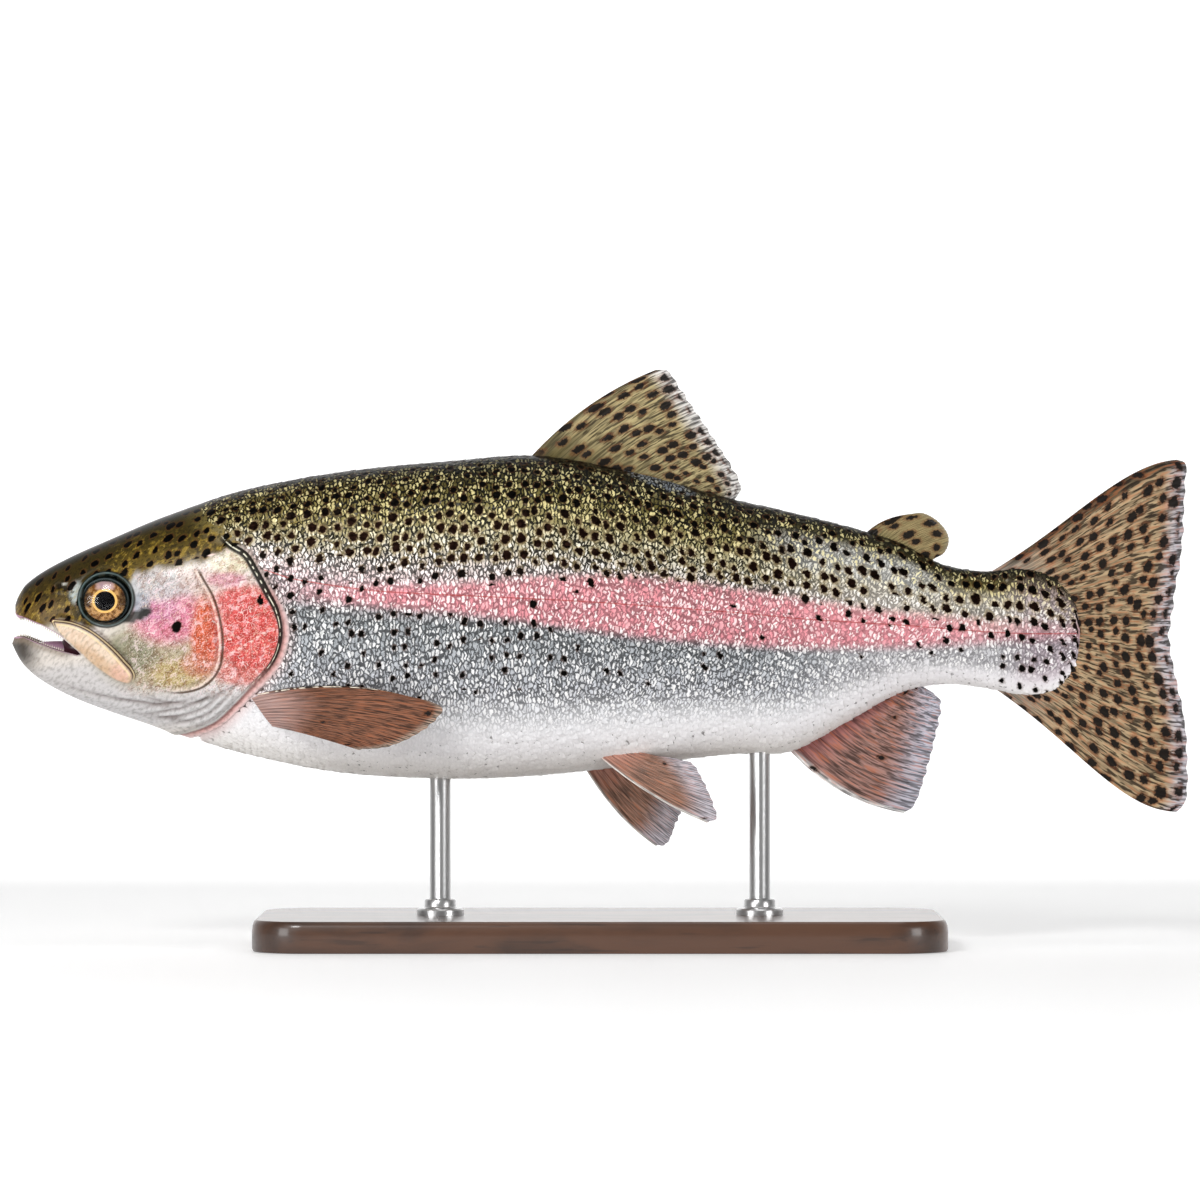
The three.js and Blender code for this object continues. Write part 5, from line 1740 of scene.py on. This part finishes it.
class TROUT_OT_eyes(bpy.types.Operator):
    """Builds both eyes, each with a clear cornea"""
    bl_idname = "trout.eyes"
    bl_label = "Eyes"

    def execute(self, context):
        ball, clear = eye_material(), cornea_material()
        for side, word in ((-1, "left"), (1, "right")):
            centre, axis = eye_place(side)
            (points, faces, radius, bearing), clear_form = (
                lathe(drawn(profile, PROFILE_STEPS), centre, axis, EYE_FACETS, EYE_SQUEEZE)
                for profile in (EYE_PROFILE, CORNEA_PROFILE))
            across = stacked(radius * np.cos(bearing), radius * np.sin(bearing), 0)
            front = (points - centre) @ axis > -IRIS_DEPTH
            make_piece(f"eyeball_{word}", points, faces, ball, "eye", (f"eye_{word}",), {
                "iris": across, "radius": np.where(front, radius, 10)})
            make_piece(f"cornea_{word}", *clear_form[:2], clear, "eye")
        return {"FINISHED"}


class TROUT_OT_mouth(bpy.types.Operator):
    """Builds the tongue, the throat's lining and the teeth"""
    bl_idname = "trout.mouth"
    bl_label = "Mouth"

    def execute(self, context):
        settings = context.scene.trout
        tongue = plain_material("tongue", settings.tongue_colour, 0.3, coat=0.5, grain=0.3)
        throat = plain_material("throat", settings.lining_colour, 0.4, coat=0.3, grain=0.3)
        teeth = plain_material("teeth", paint("tooth"), 0.3, coat=0.4, grain=0.1)
        make_piece("tongue_soft", *ellipsoid(**TONGUE), tongue, "mouth_lining", ("tongue",))
        make_piece("throat_lining", *ellipsoid(**LINING), throat, "mouth_lining")
        make_piece("teeth", *teeth_arrays(TEETH_PER_ROW, settings.tooth_height / MM, settings.seed), teeth,
                   "mouth_lining")
        return {"FINISHED"}


class TROUT_OT_stand(bpy.types.Operator):
    """Builds the wooden base and its two steel rods"""
    bl_idname = "trout.stand"
    bl_label = "Stand"

    def execute(self, context):
        settings = context.scene.trout_stand
        wood = wood_material(settings.wood_colour)
        steel = plain_material("steel", settings.steel_colour, 0.28, metallic=1, grain=0.1)
        make_piece("stand_plinth", *base_arrays(), wood, "base_wood", ("stand_base",), sharp=35)
        for word in ("front", "rear"):
            node = f"stand_rod_{word}"
            make_piece(f"stand_post_{word}", *rod_arrays(node), steel, "rod_steel", (node,), sharp=35)
        return {"FINISHED"}


LAMPS = [
    # name, place in metres, aim, width, share of the main power
    ("key", (-0.7, -1.5, 1.1), (0, 0, 0.13), 0.45, 1.25),
    ("left", (-1.8, -1.7, 0.3), (0, 0, 0.12), 0.9, 1.35),
    ("right", (1.8, -1.7, 0.3), (0, 0, 0.12), 0.9, 1.35),
    ("top", (0.1, -0.35, 1.7), (0, 0, 0.1), 0.7, 0.2),
    ("backdrop", (0, 1, 1.6), (0, 3.2, 0.9), 2.4, 3),
]
# Metres, like the lamps: how far the floor reaches, where the backdrop curves up, and its height.
FLOOR_REACH, SWEEP_FROM, SWEEP_RADIUS, BACKDROP_TOP = 9, 1.6, 1.2, 7
ROOM_LIGHT = 0.25
FRAME_WIDTH, CAMERA_HEIGHT = 0.4584, 0.1322
SENSOR = 36


def floor_arrays():
    """The floor, a quarter circle up from it, and the upright backdrop, as one sheet in metres."""
    turn = np.linspace(0.1, math.pi / 2, 14)
    y = np.concatenate([[-FLOOR_REACH, SWEEP_FROM], SWEEP_FROM + SWEEP_RADIUS * np.sin(turn),
                        [SWEEP_FROM + SWEEP_RADIUS]])
    z = np.concatenate([[0, 0], SWEEP_RADIUS * (1 - np.cos(turn)), [BACKDROP_TOP]])
    x = np.linspace(-FLOOR_REACH, FLOOR_REACH, 5)
    points = stacked(x[:, None], y, z).reshape(-1, 3)
    return points, grid_faces(len(x), len(y))


class TROUT_OT_stage(bpy.types.Operator):
    """Builds the floor and backdrop, the lamps and the camera"""
    bl_idname = "trout.stage"
    bl_label = "Stage"

    def execute(self, context):
        scene, settings = context.scene, context.scene.trout_stage
        points, faces = floor_arrays()
        mesh = bpy.data.meshes.new("floor")
        mesh.from_pydata(points.tolist(), [], faces.tolist())
        mesh.shade_smooth()
        mesh.materials.append(plain_material("floor", settings.floor_colour, 0.6, glow=settings.floor_glow))
        floor = placed("floor", mesh)
        for name, place, aim, width, share in LAMPS:
            lamp = bpy.data.lights.new(name, "AREA")
            lamp.energy, lamp.size = settings.light_power * share, width
            placed(name, lamp, place, (Vector(aim) - Vector(place)).to_track_quat("-Z", "Y").to_euler())
        room = bpy.data.worlds.new("room")
        room.use_nodes = True
        sky = room.node_tree.nodes["Background"]
        sky.inputs["Color"].default_value = (1, 1, 1, 1)
        sky.inputs["Strength"].default_value = ROOM_LIGHT
        scene.world = room
        camera = bpy.data.cameras.new("camera")
        camera.sensor_width = SENSOR
        camera.lens = SENSOR * settings.camera_distance / FRAME_WIDTH
        camera.clip_start, camera.clip_end = 0.05, 50
        place = (0, -settings.camera_distance, CAMERA_HEIGHT)
        scene.camera = placed("camera", camera, place, (math.pi / 2, 0, 0))
        scene.view_settings.view_transform = "Standard"
        return {"FINISHED"}


class TROUT_PT_panel(bpy.types.Panel):
    """Lists the trout's pieces and settings"""
    bl_idname = "TROUT_PT_panel"
    bl_label = "Rainbow trout"
    bl_space_type = "VIEW_3D"
    bl_region_type = "UI"
    bl_category = "Trout"

    def draw(self, context):
        for operator in PIECES:
            self.layout.operator(operator.bl_idname)
        for key in SETTINGS:
            group = getattr(context.scene, key)
            for name in group.__annotations__:
                self.layout.prop(group, name)


PIECES = (TROUT_OT_skin, TROUT_OT_scales, TROUT_OT_fins, TROUT_OT_eyes, TROUT_OT_mouth, TROUT_OT_stand,
          TROUT_OT_stage)
SETTINGS = {"trout": TroutSettings, "trout_stand": StandSettings, "trout_stage": StageSettings}


def register():
    for cls in (*SETTINGS.values(), *PIECES, TROUT_PT_panel):
        bpy.utils.register_class(cls)
    for key, cls in SETTINGS.items():
        setattr(bpy.types.Scene, key, PointerProperty(type=cls))


def unregister():
    for key in SETTINGS:
        delattr(bpy.types.Scene, key)
    for cls in reversed((*SETTINGS.values(), *PIECES, TROUT_PT_panel)):
        bpy.utils.unregister_class(cls)


def main():
    register()
    bpy.ops.trout.skin()
    bpy.ops.trout.scales()
    bpy.ops.trout.fins()
    bpy.ops.trout.eyes()
    bpy.ops.trout.mouth()
    bpy.ops.trout.stand()
    bpy.ops.trout.stage()


if __name__ == "__main__":
    main()
